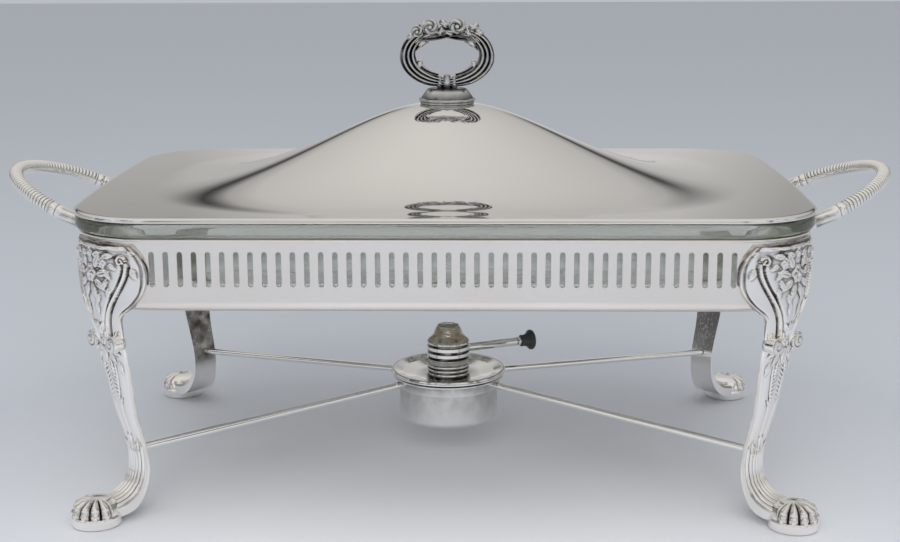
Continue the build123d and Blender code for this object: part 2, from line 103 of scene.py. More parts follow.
def gridPatch(points, wrapRows=False, capFirst=False, capLast=False, dirt=0.0):
    # faces between neighbouring points, closed across; a cap is a fan to the middle of its row
    rows, cols = points.shape[:2]
    row, col = np.meshgrid(np.arange(rows if wrapRows else rows - 1), np.arange(cols), indexing="ij")
    nextRow = (row + 1) % rows
    nextCol = (col + 1) % cols
    near, far = row * cols, nextRow * cols
    quads = np.stack([near + col, near + nextCol, far + nextCol, far + col], -1)
    verts = points.reshape(-1, 3)
    # the per-point value is painted shade on the metal pieces and the olive tint on the glass
    dirt = np.broadcast_to(np.asarray(dirt, float), (rows, cols)).reshape(-1)
    tris = []
    for wanted, row in ((capFirst, 0), (capLast, rows - 1)):
        if wanted:
            ring = row * cols + np.arange(cols)
            tris.append(np.stack([ring, np.roll(ring, -1), np.full(cols, len(verts))], -1))
            verts = np.vstack([verts, points[row].mean(axis=0)])
            dirt = np.append(dirt, dirt[ring].mean())
    tris = np.vstack(tris) if tris else np.zeros((0, 3), int)
    return {"verts": verts, "quads": quads.reshape(-1, 4), "tris": tris, "dirt": dirt}


def mirrored(patches, signX, signY):
    return [dict(patch, verts=patch["verts"] * np.array([signX, signY, 1])) for patch in patches]


def buildPiece(name, patches, body, slotName, material, replaced, sharpAngle=50):
    start = 0
    verts, quads, tris, dirt = [], [], [], []
    for patch in patches:
        verts.append(patch["verts"])
        quads.append(patch["quads"] + start)
        tris.append(patch["tris"] + start)
        dirt.append(patch["dirt"])
        start += len(patch["verts"])
    verts, quads, tris = np.vstack(verts) * mm, np.vstack(quads), np.vstack(tris)
    corners = np.concatenate([quads.ravel(), tris.ravel()])
    starts = np.concatenate([np.arange(len(quads)) * 4, len(quads) * 4 + np.arange(len(tris)) * 3])
    mesh = bpy.data.meshes.new(name)
    mesh.vertices.add(len(verts))
    mesh.vertices.foreach_set("co", verts.ravel())
    mesh.loops.add(len(corners))
    mesh.loops.foreach_set("vertex_index", corners)
    mesh.polygons.add(len(starts))
    mesh.polygons.foreach_set("loop_start", starts)
    mesh.update(calc_edges=True)
    # stored per point: painted shade for the metal, tint amount for the glass
    attribute = mesh.attributes.new("dirt", "FLOAT", "POINT")
    attribute.data.foreach_set("value", np.concatenate(dirt))
    work = bmesh.new()
    work.from_mesh(mesh)
    bmesh.ops.remove_doubles(work, verts=work.verts, dist=2e-7)
    bmesh.ops.recalc_face_normals(work, faces=work.faces)
    work.to_mesh(mesh)
    work.free()
    mesh.shade_smooth()
    mesh.set_sharp_from_angle(angle=math.radians(sharpAngle))
    mesh.materials.append(material)
    piece = bpy.data.objects.new(name, mesh)
    bpy.context.scene.collection.objects.link(piece)
    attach(piece, body)
    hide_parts(*replaced)


def roundCorners(points, radii, steps=7):
    # an open outline whose inner corners become arcs of their own radius
    pieces = []
    for number, (corner, radius) in enumerate(zip(np.array(points, float), radii)):
        if radius == 0:
            pieces.append(corner[None])
            continue
        before = np.array(points[number - 1], float) - corner
        after = np.array(points[number + 1], float) - corner
        before /= np.linalg.norm(before)
        after /= np.linalg.norm(after)
        half = math.acos(np.clip(before @ after, -1, 1)) / 2
        middle = (before + after) / np.linalg.norm(before + after)
        centre = corner + middle * radius / math.sin(half)
        first = corner + before * radius / math.tan(half) - centre
        last = corner + after * radius / math.tan(half) - centre
        turn = math.pi - 2 * half
        t = np.linspace(0, 1, steps)[:, None]
        pieces.append(centre + (np.sin((1 - t) * turn) * first + np.sin(t * turn) * last) / math.sin(turn))
    return np.vstack(pieces)


def lathe(profile, steps=128, lobes=None):
    # the profile's (radius, height) points turned round the upright axis
    angles = fullTurn(steps)
    radius = profile[:, 0][:, None] * np.ones(steps)
    if lobes is not None:
        radius = radius * lobes(angles)[None]
    height = np.repeat(profile[:, 1][:, None], steps, axis=1)
    return np.stack([radius * np.cos(angles), radius * np.sin(angles), height], -1)


def carry(path, side, up, acrossGrid, upGrid):
    # a section carried along a path: path + side * across + up * height, row by row
    return path[:, None] + side[:, None] * acrossGrid[..., None] + up[:, None] * upGrid[..., None]


# materials

def newGroup(name, inputs, outputs):
    group = bpy.data.node_groups.new(name, "ShaderNodeTree")
    for label, kind, value in inputs:
        socket = group.interface.new_socket(label, in_out="INPUT", socket_type=kind)
        if value is not None:
            socket.default_value = value
    for label, kind in outputs:
        group.interface.new_socket(label, in_out="OUTPUT", socket_type=kind)
    entry = group.nodes.new("NodeGroupInput")
    leave = group.nodes.new("NodeGroupOutput")
    return group, entry, leave


def mathNode(tree, operation, first, second=None, clamp=False):
    node = tree.nodes.new("ShaderNodeMath")
    node.operation = operation
    node.use_clamp = clamp
    for socket, value in zip(node.inputs, (first, second)):
        if value is None:
            continue
        if isinstance(value, (int, float)):
            socket.default_value = value
        else:
            tree.links.new(value, socket)
    return node.outputs[0]


def noiseNode(tree, scale, detail, vector=None, roughness=0.55, distortion=0.0):
    node = tree.nodes.new("ShaderNodeTexNoise")
    node.inputs["Scale"].default_value = scale
    node.inputs["Detail"].default_value = detail
    node.inputs["Roughness"].default_value = roughness
    node.inputs["Distortion"].default_value = distortion
    if vector is not None:
        tree.links.new(vector, node.inputs["Vector"])
    return node.outputs["Fac"]


def rangeNode(tree, value, fromLow, fromHigh, toLow, toHigh):
    node = tree.nodes.new("ShaderNodeMapRange")
    node.inputs["From Min"].default_value = fromLow
    node.inputs["From Max"].default_value = fromHigh
    node.inputs["To Min"].default_value = toLow
    node.inputs["To Max"].default_value = toHigh
    tree.links.new(value, node.inputs["Value"])
    return node.outputs["Result"]


def stretched(tree, vector, scale, turn=(0, 0, 0)):
    node = tree.nodes.new("ShaderNodeMapping")
    node.inputs["Scale"].default_value = scale
    node.inputs["Rotation"].default_value = turn
    tree.links.new(vector, node.inputs["Vector"])
    return node.outputs["Vector"]


def mixNode(tree, factor, first, second, blend="MIX"):
    # a colour between first and second; each of the three is a fixed value or a socket
    node = tree.nodes.new("ShaderNodeMix")
    node.data_type = "RGBA"
    node.blend_type = blend
    for socket, value in ((node.inputs["Factor"], factor), (node.inputs[6], first), (node.inputs[7], second)):
        if isinstance(value, tuple):
            socket.default_value = (*value, 1)
        elif isinstance(value, float):
            socket.default_value = value
        else:
            tree.links.new(value, socket)
    return node.outputs[2]


def newMaterial(name):
    # a material with its node tree, its shader and the object's own coordinates
    material = bpy.data.materials.new(name)
    material.use_nodes = True
    tree = material.node_tree
    place = tree.nodes.new("ShaderNodeTexCoord").outputs["Object"]
    return material, tree, tree.nodes["Principled BSDF"], place


def makeScuffs():
    # fine crossing scratches and cloudy wear, as a roughness value and a bump height
    group, entry, leave = newGroup(
        "fineScuffs",
        [
            ("Vector", "NodeSocketVector", None), ("Smooth", "NodeSocketFloat", 0.05),
            ("Worn", "NodeSocketFloat", 0.2),
        ],
        [("Roughness", "NodeSocketFloat"), ("Height", "NodeSocketFloat")],
    )
    cloud = noiseNode(group, 22, 4, entry.outputs["Vector"])
    first = noiseNode(group, 60, 3, stretched(group, entry.outputs["Vector"], (1, 14, 9), (0.2, 0.3, 0.5)))
    second = noiseNode(group, 60, 3, stretched(group, entry.outputs["Vector"], (15, 1, 8), (0.5, 0.1, -0.4)))
    firstWay = rangeNode(group, first, 0.62, 0.74, 0, 1)
    secondWay = rangeNode(group, second, 0.63, 0.75, 0, 1)
    scratches = mathNode(group, "MAXIMUM", firstWay, secondWay)
    clouded = rangeNode(group, cloud, 0.42, 0.72, 0, 0.75)
    wear = mathNode(group, "ADD", clouded, mathNode(group, "MULTIPLY", scratches, 0.5), True)
    spread = mathNode(group, "SUBTRACT", entry.outputs["Worn"], entry.outputs["Smooth"])
    rough = mathNode(group, "ADD", entry.outputs["Smooth"], mathNode(group, "MULTIPLY", wear, spread))
    group.links.new(rough, leave.inputs["Roughness"])
    group.links.new(mathNode(group, "MULTIPLY", scratches, -1), leave.inputs["Height"])
    return group


def makeHazeAndShade():
    # bright metal with a warm haze, and a dark painted shade where the stored shade value is high
    group, entry, leave = newGroup(
        "hazeAndShade",
        [
            ("Vector", "NodeSocketVector", None), ("Dirt", "NodeSocketFloat", 0.0),
            ("Haze", "NodeSocketFloat", 0.3), ("Bright", "NodeSocketColor", (0.9, 0.88, 0.85, 1)),
            ("Warm", "NodeSocketColor", (0.8, 0.7, 0.58, 1)),
            ("Dark", "NodeSocketColor", (0.12, 0.1, 0.08, 1)),
        ],
        [("Color", "NodeSocketColor"), ("Mask", "NodeSocketFloat")],
    )
    haze = rangeNode(group, noiseNode(group, 14, 5, entry.outputs["Vector"], 0.6, 0.4), 0.42, 0.75, 0, 1)
    # noise that mottles the painted shade
    shadeMottle = rangeNode(group, noiseNode(group, 160, 4, entry.outputs["Vector"]), 0.3, 0.7, 0.6, 1.15)
    mask = mathNode(group, "MULTIPLY", entry.outputs["Dirt"], shadeMottle, True)
    hazeAmount = mathNode(group, "MULTIPLY", haze, entry.outputs["Haze"], True)
    warm = mixNode(group, hazeAmount, entry.outputs["Bright"], entry.outputs["Warm"])
    group.links.new(mixNode(group, mask, warm, entry.outputs["Dark"]), leave.inputs["Color"])
    group.links.new(mask, leave.inputs["Mask"])
    return group


scuffs = makeScuffs()
hazeAndShade = makeHazeAndShade()


def metalMaterial(name, settings):
    material, tree, shader, place = newMaterial(name)
    shader.inputs["Metallic"].default_value = 1.0
    colour = tree.nodes.new("ShaderNodeGroup")
    colour.node_tree = hazeAndShade
    colour.inputs["Haze"].default_value = settings["haze"]
    for label in ("bright", "warm", "dark"):
        colour.inputs[label.capitalize()].default_value = (*settings[label], 1)
    tree.links.new(place, colour.inputs["Vector"])
    # pieces that take the stored value get painted shade in their hollows, grooves and gaps
    if settings.get("dirty"):
        dirt = tree.nodes.new("ShaderNodeAttribute")
        dirt.attribute_name = "dirt"
        tree.links.new(dirt.outputs["Fac"], colour.inputs["Dirt"])
    finished = colour.outputs["Color"]
    if "burnt" in settings:
        # brown heat colour above a height, drawn out into upright streaks
        split = tree.nodes.new("ShaderNodeSeparateXYZ")
        tree.links.new(place, split.inputs["Vector"])
        streak = noiseNode(tree, 260, 3, stretched(tree, place, (1, 1, 0.12)))
        above = rangeNode(tree, split.outputs["Z"], *settings["burnt"], 0, 1)
        amount = mathNode(tree, "MULTIPLY", above, rangeNode(tree, streak, 0.35, 0.65, 0.55, 1), True)
        finished = mixNode(tree, amount, finished, settings["brown"])
    tree.links.new(finished, shader.inputs["Base Color"])
    wear = tree.nodes.new("ShaderNodeGroup")
    wear.node_tree = scuffs
    wear.inputs["Smooth"].default_value = settings["smooth"]
    wear.inputs["Worn"].default_value = settings["worn"]
    tree.links.new(place, wear.inputs["Vector"])
    dull = mathNode(tree, "MULTIPLY", colour.outputs["Mask"], 0.25)
    rough = mathNode(tree, "ADD", wear.outputs["Roughness"], dull, True)
    tree.links.new(rough, shader.inputs["Roughness"])
    bump = tree.nodes.new("ShaderNodeBump")
    bump.inputs["Strength"].default_value = settings["bump"]
    bump.inputs["Distance"].default_value = 0.0002
    tree.links.new(wear.outputs["Height"], bump.inputs["Height"])
    tree.links.new(bump.outputs["Normal"], shader.inputs["Normal"])
    return material


# dark is the painted shade colour, mixed in where a piece's stored shade value is high
polishedSilver = metalMaterial("polishedSilver", {
    "bright": (0.90, 0.885, 0.86), "warm": (0.87, 0.85, 0.81), "dark": (0.3, 0.27, 0.22),
    "haze": 0.35, "smooth": 0.035, "worn": 0.085, "bump": 0.02,
})
wallSilver = metalMaterial("wallSilver", {
    "bright": (0.91, 0.865, 0.83), "warm": (0.86, 0.77, 0.68), "dark": (0.25, 0.2, 0.15),
    "haze": 0.35, "smooth": 0.16, "worn": 0.3, "bump": 0.06,
})
castSilver = metalMaterial("castSilver", {
    "bright": (0.985, 0.965, 0.945), "warm": (0.92, 0.83, 0.73), "dark": (0.09, 0.075, 0.06),
    "haze": 0.25, "smooth": 0.07, "worn": 0.2, "bump": 0.08, "dirty": True,
})
antiqueSilver = metalMaterial("antiqueSilver", {
    "bright": (0.80, 0.80, 0.80), "warm": (0.68, 0.63, 0.58), "dark": (0.012, 0.012, 0.014),
    "haze": 0.4, "smooth": 0.10, "worn": 0.22, "bump": 0.1, "dirty": True,
})
burnerSteel = metalMaterial("burnerSteel", {
    "bright": (0.97, 0.965, 0.95), "warm": (0.88, 0.83, 0.76), "dark": (0.07, 0.06, 0.045),
    "haze": 0.35, "smooth": 0.06, "worn": 0.16, "bump": 0.06, "dirty": True,
})
heatedSteel = metalMaterial("heatedSteel", {
    "bright": (0.88, 0.87, 0.84), "warm": (0.74, 0.67, 0.56), "dark": (0.045, 0.038, 0.03),
    "haze": 0.45, "smooth": 0.08, "worn": 0.2, "bump": 0.08, "dirty": True,
    "burnt": (0.0694, 0.0715), "brown": (0.50, 0.41, 0.29),
})
plainSteel = metalMaterial("plainSteel", {
    "bright": (0.66, 0.66, 0.66), "warm": (0.6, 0.56, 0.5), "dark": (0.1, 0.1, 0.1),
    "haze": 0.4, "smooth": 0.25, "worn": 0.4, "bump": 0.15,
})


def glassMaterial():
    # clear, and olive where the stored value marks the thick corners; on the metal pieces that value is painted
    # shade
    material, tree, shader, place = newMaterial("clearGlass")
    shader.inputs["Metallic"].default_value = 0.0
    shader.inputs["Transmission Weight"].default_value = 0.93
    shader.inputs["IOR"].default_value = 1.47
    shader.inputs["Roughness"].default_value = 0.0
    thick = tree.nodes.new("ShaderNodeAttribute")
    thick.attribute_name = "dirt"
    cloudy = rangeNode(tree, noiseNode(tree, 30, 3, place), 0.3, 0.7, 0.6, 1)
    amount = mathNode(tree, "MULTIPLY", thick.outputs["Fac"], cloudy, True)
    tint = mixNode(tree, amount, (0.955, 0.96, 0.93), (0.68, 0.78, 0.42))
    tree.links.new(tint, shader.inputs["Base Color"])
    ripple = tree.nodes.new("ShaderNodeBump")
    ripple.inputs["Strength"].default_value = 0.25
    ripple.inputs["Distance"].default_value = 0.0008
    tree.links.new(noiseNode(tree, 26, 2, stretched(tree, place, (1, 1, 0.4))), ripple.inputs["Height"])
    tree.links.new(ripple.outputs["Normal"], shader.inputs["Normal"])
    return material


def plainMaterial(name, first, second, scale, roughness, bumpStrength):
    # two close colours mixed by noise, with a fine grain
    material, tree, shader, place = newMaterial(name)
    speckle = noiseNode(tree, scale, 4, place)
    colour = mixNode(tree, rangeNode(tree, speckle, 0.35, 0.65, 0, 1), first, second)
    tree.links.new(colour, shader.inputs["Base Color"])
    rough = rangeNode(tree, speckle, 0.2, 0.8, roughness * 0.8, roughness * 1.2)
    tree.links.new(rough, shader.inputs["Roughness"])
    grain = tree.nodes.new("ShaderNodeBump")
    grain.inputs["Strength"].default_value = bumpStrength
    grain.inputs["Distance"].default_value = 0.0002
    tree.links.new(speckle, grain.inputs["Height"])
    tree.links.new(grain.outputs["Normal"], shader.inputs["Normal"])
    return material


clearGlass = glassMaterial()
knobBlack = plainMaterial("knobBlack", (0.02, 0.024, 0.022), (0.045, 0.055, 0.05), 900, 0.32, 0.2)
cottonWick = plainMaterial("cottonWick", (0.72, 0.68, 0.58), (0.5, 0.46, 0.38), 700, 0.95, 0.8)
print("materials made")

tray = {"halfLength": 190.6, "halfDepth": 119.1, "corner": 38.0, "bow": 4.0}
bowRadius = (tray["halfDepth"] ** 2 + tray["bow"] ** 2) / (2 * tray["bow"])
cornerY = tray["halfDepth"] - tray["corner"]
bowCentre = tray["halfLength"] - bowRadius
cornerX = bowCentre + math.sqrt((bowRadius - tray["corner"]) ** 2 - cornerY**2)
cornerU = (cornerX + cornerY) / math.sqrt(2)
diagonalShift = (cornerX - cornerY) / 2


def endWallX(y):
    return bowCentre + np.sqrt(bowRadius**2 - y**2)


def trayOutline(endSteps=36, cornerSteps=40, sideSteps=90):
    # half the outline is a bowed end, a corner, a long side and a corner; the rest is its half turn
    turn = math.atan2(cornerY, cornerX - bowCentre)
    endAngle = np.linspace(-turn, turn, endSteps, endpoint=False)
    firstAngle = np.linspace(turn, math.pi / 2, cornerSteps, endpoint=False)
    lastAngle = np.linspace(math.pi / 2, math.pi - turn, cornerSteps, endpoint=False)
    along = np.linspace(cornerX, -cornerX, sideSteps, endpoint=False)
    angle = np.concatenate([endAngle, firstAngle, np.full(sideSteps, math.pi / 2), lastAngle])
    normal = np.stack([np.cos(angle), np.sin(angle)], -1)
    cornerXs = np.full(cornerSteps, cornerX)
    centreX = np.concatenate([np.full(endSteps, bowCentre), cornerXs, along, -cornerXs])
    centreY = np.concatenate([np.zeros(endSteps), np.full(cornerSteps + sideSteps + cornerSteps, cornerY)])
    cornerRadii = np.full(2 * cornerSteps + sideSteps, tray["corner"])
    radius = np.concatenate([np.full(endSteps, bowRadius), cornerRadii])
    base = np.stack([centreX, centreY], -1) + normal * radius[:, None]
    return np.vstack([base, -base]), np.vstack([normal, -normal])


outline, outlineNormal = trayOutline()


def aroundTray(profile):
    # each (outset, height) point of the profile carried round the tray's outline
    flat = outline[None] + outlineNormal[None] * profile[:, 0][:, None, None]
    height = np.broadcast_to(profile[:, 1][:, None, None], flat.shape[:2] + (1,))
    return np.concatenate([flat, height], -1)


glass = {
    "seatZ": 156.4, "topZ": 164.0, "baseZ": 121.0, "rimOut": 5.9, "bodyOut": -4.0, "footOut": -10.5,
    "wall": 5.0, "floor": 5.5,
}


def makeGlass():
    g = glass
    profile = roundCorners(
        [
            (g["footOut"] - 22, g["baseZ"]), (g["footOut"], g["baseZ"]), (g["bodyOut"], g["seatZ"]),
            (g["rimOut"], g["seatZ"]), (g["rimOut"], g["topZ"]), (g["bodyOut"] - g["wall"], g["topZ"]),
            (g["footOut"] - g["wall"], g["baseZ"] + g["floor"]), (g["footOut"] - 26, g["baseZ"] + g["floor"]),
        ],
        [0, 12, 1.5, 2.6, 2.9, 2.0, 8, 0], 9,
    )
    points = aroundTray(profile)
    inCorner = smoothStep(0.25, 0.85, np.abs(outlineNormal[:, 0]))[None] * (points[..., 2] > g["seatZ"] - 1)
    patch = gridPatch(points, capFirst=True, capLast=True, dirt=0.04 + 0.9 * inCorner)
    buildPiece("glassDish", [patch], "dish", "clear_glass", clearGlass, ["glass_dish"])


rim = {"inner": -1.3, "outer": 4.2, "low": 154.6, "high": 156.1, "round": 0.7}


def makeRim():
    inner, outer, low, high = rim["inner"], rim["outer"], rim["low"], rim["high"]
    corners = [(inner, (low + high) / 2), (inner, low), (outer, low), (outer, high), (inner, high)]
    profile = roundCorners(corners, [0, 0, rim["round"], rim["round"], 0])
    patch = gridPatch(aroundTray(profile), wrapRows=True)
    buildPiece("galleryRim", [patch], "tray_frame", "silver_plate", wallSilver, ["gallery_rim"])


lid = {
    "overhang": 6.4, "rimZ": 165.5, "wall": 1.2, "footZ": 167.0, "apexZ": 210.75, "footHalfLength": 166.0,
    "footHalfDepth": 118.6, "lengthTaper": 1.07, "depthTaper": 0.98, "topRoundness": 1.8,
    "footSquareness": 1.2,
    "flatShare": 0.1, "fullness": 0.8, "stud": 2.65, "beadInner": 3.6, "beadLow": 164.3,
}


def lidPoint(level):
    # level 0 to 1 goes from the rim to the dome's foot, and 1 to 2 from the foot to the middle;
    # a level line is |x / length| ** power + |y / depth| ** power = 1, and the height falls like a bell
    rimPoints = outline + outlineNormal * lid["overhang"]
    angle = np.arctan2(rimPoints[:, 1], rimPoints[:, 0])[None]
    share = np.clip(2 - level, 1e-6, 1)[:, None]
    power = lid["topRoundness"] + lid["footSquareness"] * share**2.5
    length = lid["footHalfLength"] * share ** lid["lengthTaper"]
    depth = lid["footHalfDepth"] * share ** lid["depthTaper"]
    reach = (np.abs(np.cos(angle) / length) ** power + np.abs(np.sin(angle) / depth) ** power) ** (-1 / power)
    rimReach = np.hypot(rimPoints[:, 0], rimPoints[:, 1])[None]
    margin = np.clip(level, 0, 1)[:, None]
    onMargin = level[:, None] < 1
    radius = np.where(onMargin, rimReach + (reach - rimReach) * margin, reach)
    rest = np.clip((share - lid["flatShare"]) / (1 - lid["flatShare"]), 0, 1)
    dome = lid["footZ"] + (lid["apexZ"] - lid["footZ"]) * (1 + np.cos(math.pi * rest ** lid["fullness"])) / 2
    fromRim = (rimReach - radius) / 2.2
    roll = np.sqrt(np.clip(1 - (1 - np.clip(fromRim, 0, 1)) ** 2, 0, 1))
    rolled = lid["rimZ"] + (lid["footZ"] - lid["rimZ"]) * roll
    height = np.where(onMargin, rolled, dome + 0 * angle)
    return np.stack([radius * np.cos(angle), radius * np.sin(angle), height], -1)


def makeLid():
    lastLevel = 2 - lid["stud"] / lid["footHalfDepth"]
    level = np.concatenate([np.linspace(0, 1, 28, endpoint=False) ** 2, np.linspace(1, lastLevel, 84)])
    outer = lidPoint(level)
    inner = outer.copy()
    inner[..., 2] = np.maximum(outer[..., 2] - lid["wall"], lid["rimZ"] - 0.03)
    inner[:2, :, :2] *= 0.9990
    points = np.concatenate([outer, inner[::-1]])
    shell = gridPatch(points, wrapRows=True)
    buildPiece("lidShell", [shell], "lid", "polished_silver_plate", polishedSilver, ["lid_shell"], 70)
    inner, outer, low = lid["beadInner"], lid["overhang"], lid["beadLow"]
    corners = [(inner, 164.95), (inner, low), (outer, low), (outer, 165.62), (inner, 165.5)]
    bead = gridPatch(aroundTray(roundCorners(corners, [0, 0, 0.6, 0.55, 0])), wrapRows=True)
    buildPiece("lidEdge", [bead], "lid", "polished_silver_plate", polishedSilver, ["lid_edge_bead"])


makeGlass()
makeRim()
makeLid()
print("glass, rim and lid made")

# outer and inner faces of a leg in its own upright plane: outwards, height, half width, bend
leg = {
    "outer": [
        (205.9, 151.8), (206.0, 146), (205.9, 138), (205.7, 128), (205.2, 121), (204.3, 115), (203.0, 109),
        (201.9, 104),
        (201.4, 98), (200.6, 92), (199.2, 85), (196.6, 72), (194.2, 60), (191.4, 50), (189.0, 42), (187.4, 35),
        (187.0, 28.5), (188.0, 22.5), (190.6, 17.5), (194.6, 14.2), (199.5, 12.4), (205, 11.5),
    ],
    "inner": [
        (202.0, 151.8), (202.0, 146), (202.0, 138), (202.0, 128), (202.0, 121), (200.7, 115), (199.2, 109),
        (197.9, 104),
        (196.6, 98), (195.4, 91.5), (193.8, 84.4), (191.3, 71.2), (189.1, 59), (186.6, 48.8), (184.5, 41),
        (183.2, 34.6),
        (182.9, 28), (183.6, 21), (186.0, 14.5), (190.0, 9.0), (195.5, 5.6), (203, 4.4),
    ],
    "halfWidth": [
        25.5, 31.0, 33.5, 31.8, 26.0, 18.8, 15.8, 14.4, 13.6, 13.6, 12.6, 10.8, 9.6, 9.0, 8.8, 8.7, 8.8, 9.0, 9.6,
        10.6, 11.4, 11.6,
    ],
    "bend": [
        0.0247, 0.0247, 0.0247, 0.0247, 0.0250, 0.028, 0.032, 0.036, 0.04, 0.042, 0.045, 0.048, 0.05, 0.055, 0.058,
        0.06, 0.06, 0.055, 0.05, 0.045, 0.04, 0.04,
    ],
    "rows": 430, "frontCols": 121, "backCols": 24,
}


def leafRelief(a, z, rootA, rootZ, turn, length, width, height):
    # a pointed leaf: an arch across, fading at root and tip, with a groove along its middle
    angle = math.radians(turn)
    p = (a - rootA) * math.cos(angle) + (z - rootZ) * math.sin(angle)
    q = -(a - rootA) * math.sin(angle) + (z - rootZ) * math.cos(angle)
    share = np.clip(p / length, 0, 1)
    half = width * np.sin(math.pi * share**0.75) + 1e-3
    arch = np.sqrt(np.clip(1 - (q / half) ** 2, 0, 1))
    return height * arch * (0.55 + 0.45 * np.sin(math.pi * share)) * (1 - 0.45 * hump(q, 0.4))


def withLeaves(relief, side, z, leaves):
    # the highest of the relief and the leaves at each point
    for leaf in leaves:
        relief = np.maximum(relief, leafRelief(side, z, *leaf))
    return relief


def roseRelief(a, z, middleA, middleZ, radius, petals, height):
    # overlapping petals round a bead: a disc with a wavy edge and spiral grooves
    r = np.hypot(a - middleA, z - middleZ) / radius
    angle = np.arctan2(z - middleZ, a - middleA)
    edge = 1 + 0.13 * np.cos(petals * angle)
    disc = np.clip(1 - (r / edge) ** 5, 0, 1)
    petal = 0.72 + 0.28 * np.cos(petals * angle + 5 * r)
    return height * disc * petal * (0.6 + 0.4 * r) + 0.8 * height * hump(r, 0.28)


def curlRelief(a, z, middleA, middleZ, radius, turns, start, height, width):
    # a rope wound inwards: a ridge along a spiral whose radius falls with its angle
    r = np.hypot(a - middleA, z - middleZ)
    angle = np.arctan2(z - middleZ, a - middleA) - math.radians(start)
    loop = np.mod(angle * np.sign(turns), 2 * math.pi) / (2 * math.pi)
    count = abs(turns)
    total = np.zeros_like(a)
    for lap in range(int(math.ceil(count)) + 1):
        progress = loop + lap
        offLine = r - radius * (1 - progress / (count + 0.35))
        total = np.maximum(total, hump(offLine, width) * (progress <= count))
    return height * total


def legRelief(a, z, halfWidth):
    # a is the distance across from the middle line, z the height, all in millimetres
    side = np.abs(a)
    ridgeHeights = [90, 93, 97, 101, 108, 113, 118, 123, 132, 142, 148]
    ridgePlaces = [9.8, 8.4, 6.4, 5.4, 6.4, 8.2, 10.8, 14.0, 19.8, 23.2, 22.6]
    ridgeAt = smoothCurve(ridgeHeights, ridgePlaces, np.clip(z, 90, 148))
    ridgeOn = smoothStep(91, 93, z) * (1 - smoothStep(141.5, 144.0, z))
    crest = 1.8 * hump(side - ridgeAt, 0.85) - 1.2 * hump(side - ridgeAt + 2.0, 0.8)
    ridge = (crest - 0.8 * hump(side - ridgeAt - 1.8, 0.6)) * ridgeOn
    curls = curlRelief(side, z, 20.6, 144.2, 2.7, 1.3, 0, 1.7, 0.75)
    edge = 0.8 * hump(halfWidth - side - 0.8, 0.7) - 0.5 * hump(halfWidth - side - 2.4, 0.7)
    edge = edge * smoothStep(112, 118, z)
    swell = 1.3 * np.clip(1 - (side / np.maximum(ridgeAt - 1, 1)) ** 2, 0, 1)
    swell = swell * smoothStep(96, 112, z) * (1 - 0.4 * smoothStep(125, 140, z))
    garland = roseRelief(side, z, 0, 136.5, 4.6, 5, 1.6)
    garland = np.maximum(garland, roseRelief(side, z, 8.8, 142.6, 3.3, 5, 1.3))
    garland = np.maximum(garland, roseRelief(side, z, 0.0, 147.3, 2.6, 5, 1.2))
    garland = withLeaves(garland, side, z, (
        (3.5, 139.5, 62, 9.5, 2.3, 1.4), (5.0, 136.0, 15, 9.5, 2.1, 1.4), (3.6, 133.5, -38, 9.5, 2.0, 1.35),
        (1.2, 131.5, -68, 10.5, 1.9, 1.35), (9.5, 146.0, 8, 7.5, 1.8, 1.3), (2.4, 145.8, 20, 6.5, 1.5, 1.2),
        (13.5, 150.6, 180, 8.0, 1.2, 1.1), (9.5, 139.6, -50, 8.0, 1.7, 1.2), (11.8, 134.5, -115, 7.5, 1.5, 1.1),
        (6.5, 126.8, -112, 8.0, 1.4, 1.0), (24.0, 148.6, -8, 4.6, 1.2, 0.9), (25.6, 140.5, -62, 6.5, 2.0, 1.3),
        (13.0, 142.0, -25, 6.0, 1.6, 1.1), (12.5, 130.0, -100, 7.0, 1.4, 1.0), (4.0, 122.0, -96, 9.0, 1.3, 1.1),
    ))
    band = 0.9 * hump(z - 150.6, 0.9) * (1 - smoothStep(20, 24, side))
    knot = withLeaves(roseRelief(side, z, 0, 99.5, 2.8, 5, 1.2), side, z, (
        (0.3, 102.0, 86, 9.5, 1.7, 1.5), (1.2, 104.5, 62, 7.5, 1.4, 1.3), (1.6, 97.0, -52, 6.0, 1.5, 1.3),
        (0.3, 96.5, -87, 10.5, 1.8, 1.5), (4.2, 93.5, -66, 7.5, 1.4, 1.3), (2.6, 91.0, -84, 12.0, 1.3, 1.2),
        (9.0, 88.5, -84, 8.0, 1.2, 1.0),
    ))
    huskWidth = np.interp(z, [66, 70, 80, 88], [0.3, 0.9, 1.7, 2.1])
    serrated = 0.6 + 0.4 * np.cos(2 * math.pi * (z + side) / 2.4)
    husk = 1.0 * hump(side - 2.6, huskWidth) * serrated - 0.9 * hump(side - 2.6 - 1.7 * huskWidth, 0.5)
    beads = husk * smoothStep(65, 68, z) * (1 - smoothStep(84, 88, z))
    hookAt = np.interp(z, [30, 40, 58, 63, 66, 68], [1.0, 2.0, 2.6, 3.4, 4.8, 6.0])
    border = -1.1 * hump(side - hookAt, 0.55) * smoothStep(37, 40, z) * (1 - smoothStep(66, 68, z))
    spine = 0.5 * hump(side - 0.66 * halfWidth, 2.0) * smoothStep(34, 44, z) * (1 - smoothStep(84, 92, z))
    ankleLeaf = leafRelief(side, z, 0.2, 34.5, 86, 11.5, 2.6, 1.2)
    ankleLeaf = withLeaves(ankleLeaf, side, z, ((2.4, 33.5, 66, 9.0, 1.7, 1.1),))
    fan = np.mod(side / (halfWidth * 0.92) * 3.6 + 0.5, 1.0) - 0.5
    flutes = 0.85 - 1.9 * np.sqrt(np.abs(fan) * 2) ** 4 * 0.5
    flutes = flutes * (1 - smoothStep(34.5, 38.5, z)) * (side < halfWidth * 0.92)
    plain = ridge + curls + edge + swell + band + beads + border + spine
    return plain + np.maximum(garland, knot) + np.maximum(ankleLeaf, flutes)


def onDiagonal(u, w, z):
    # from the leg's own plane (outwards, across, up) to the tray's axes
    root = math.sqrt(2)
    return np.stack([u / root + diagonalShift + w / root, u / root - diagonalShift - w / root, z + 0 * u], -1)


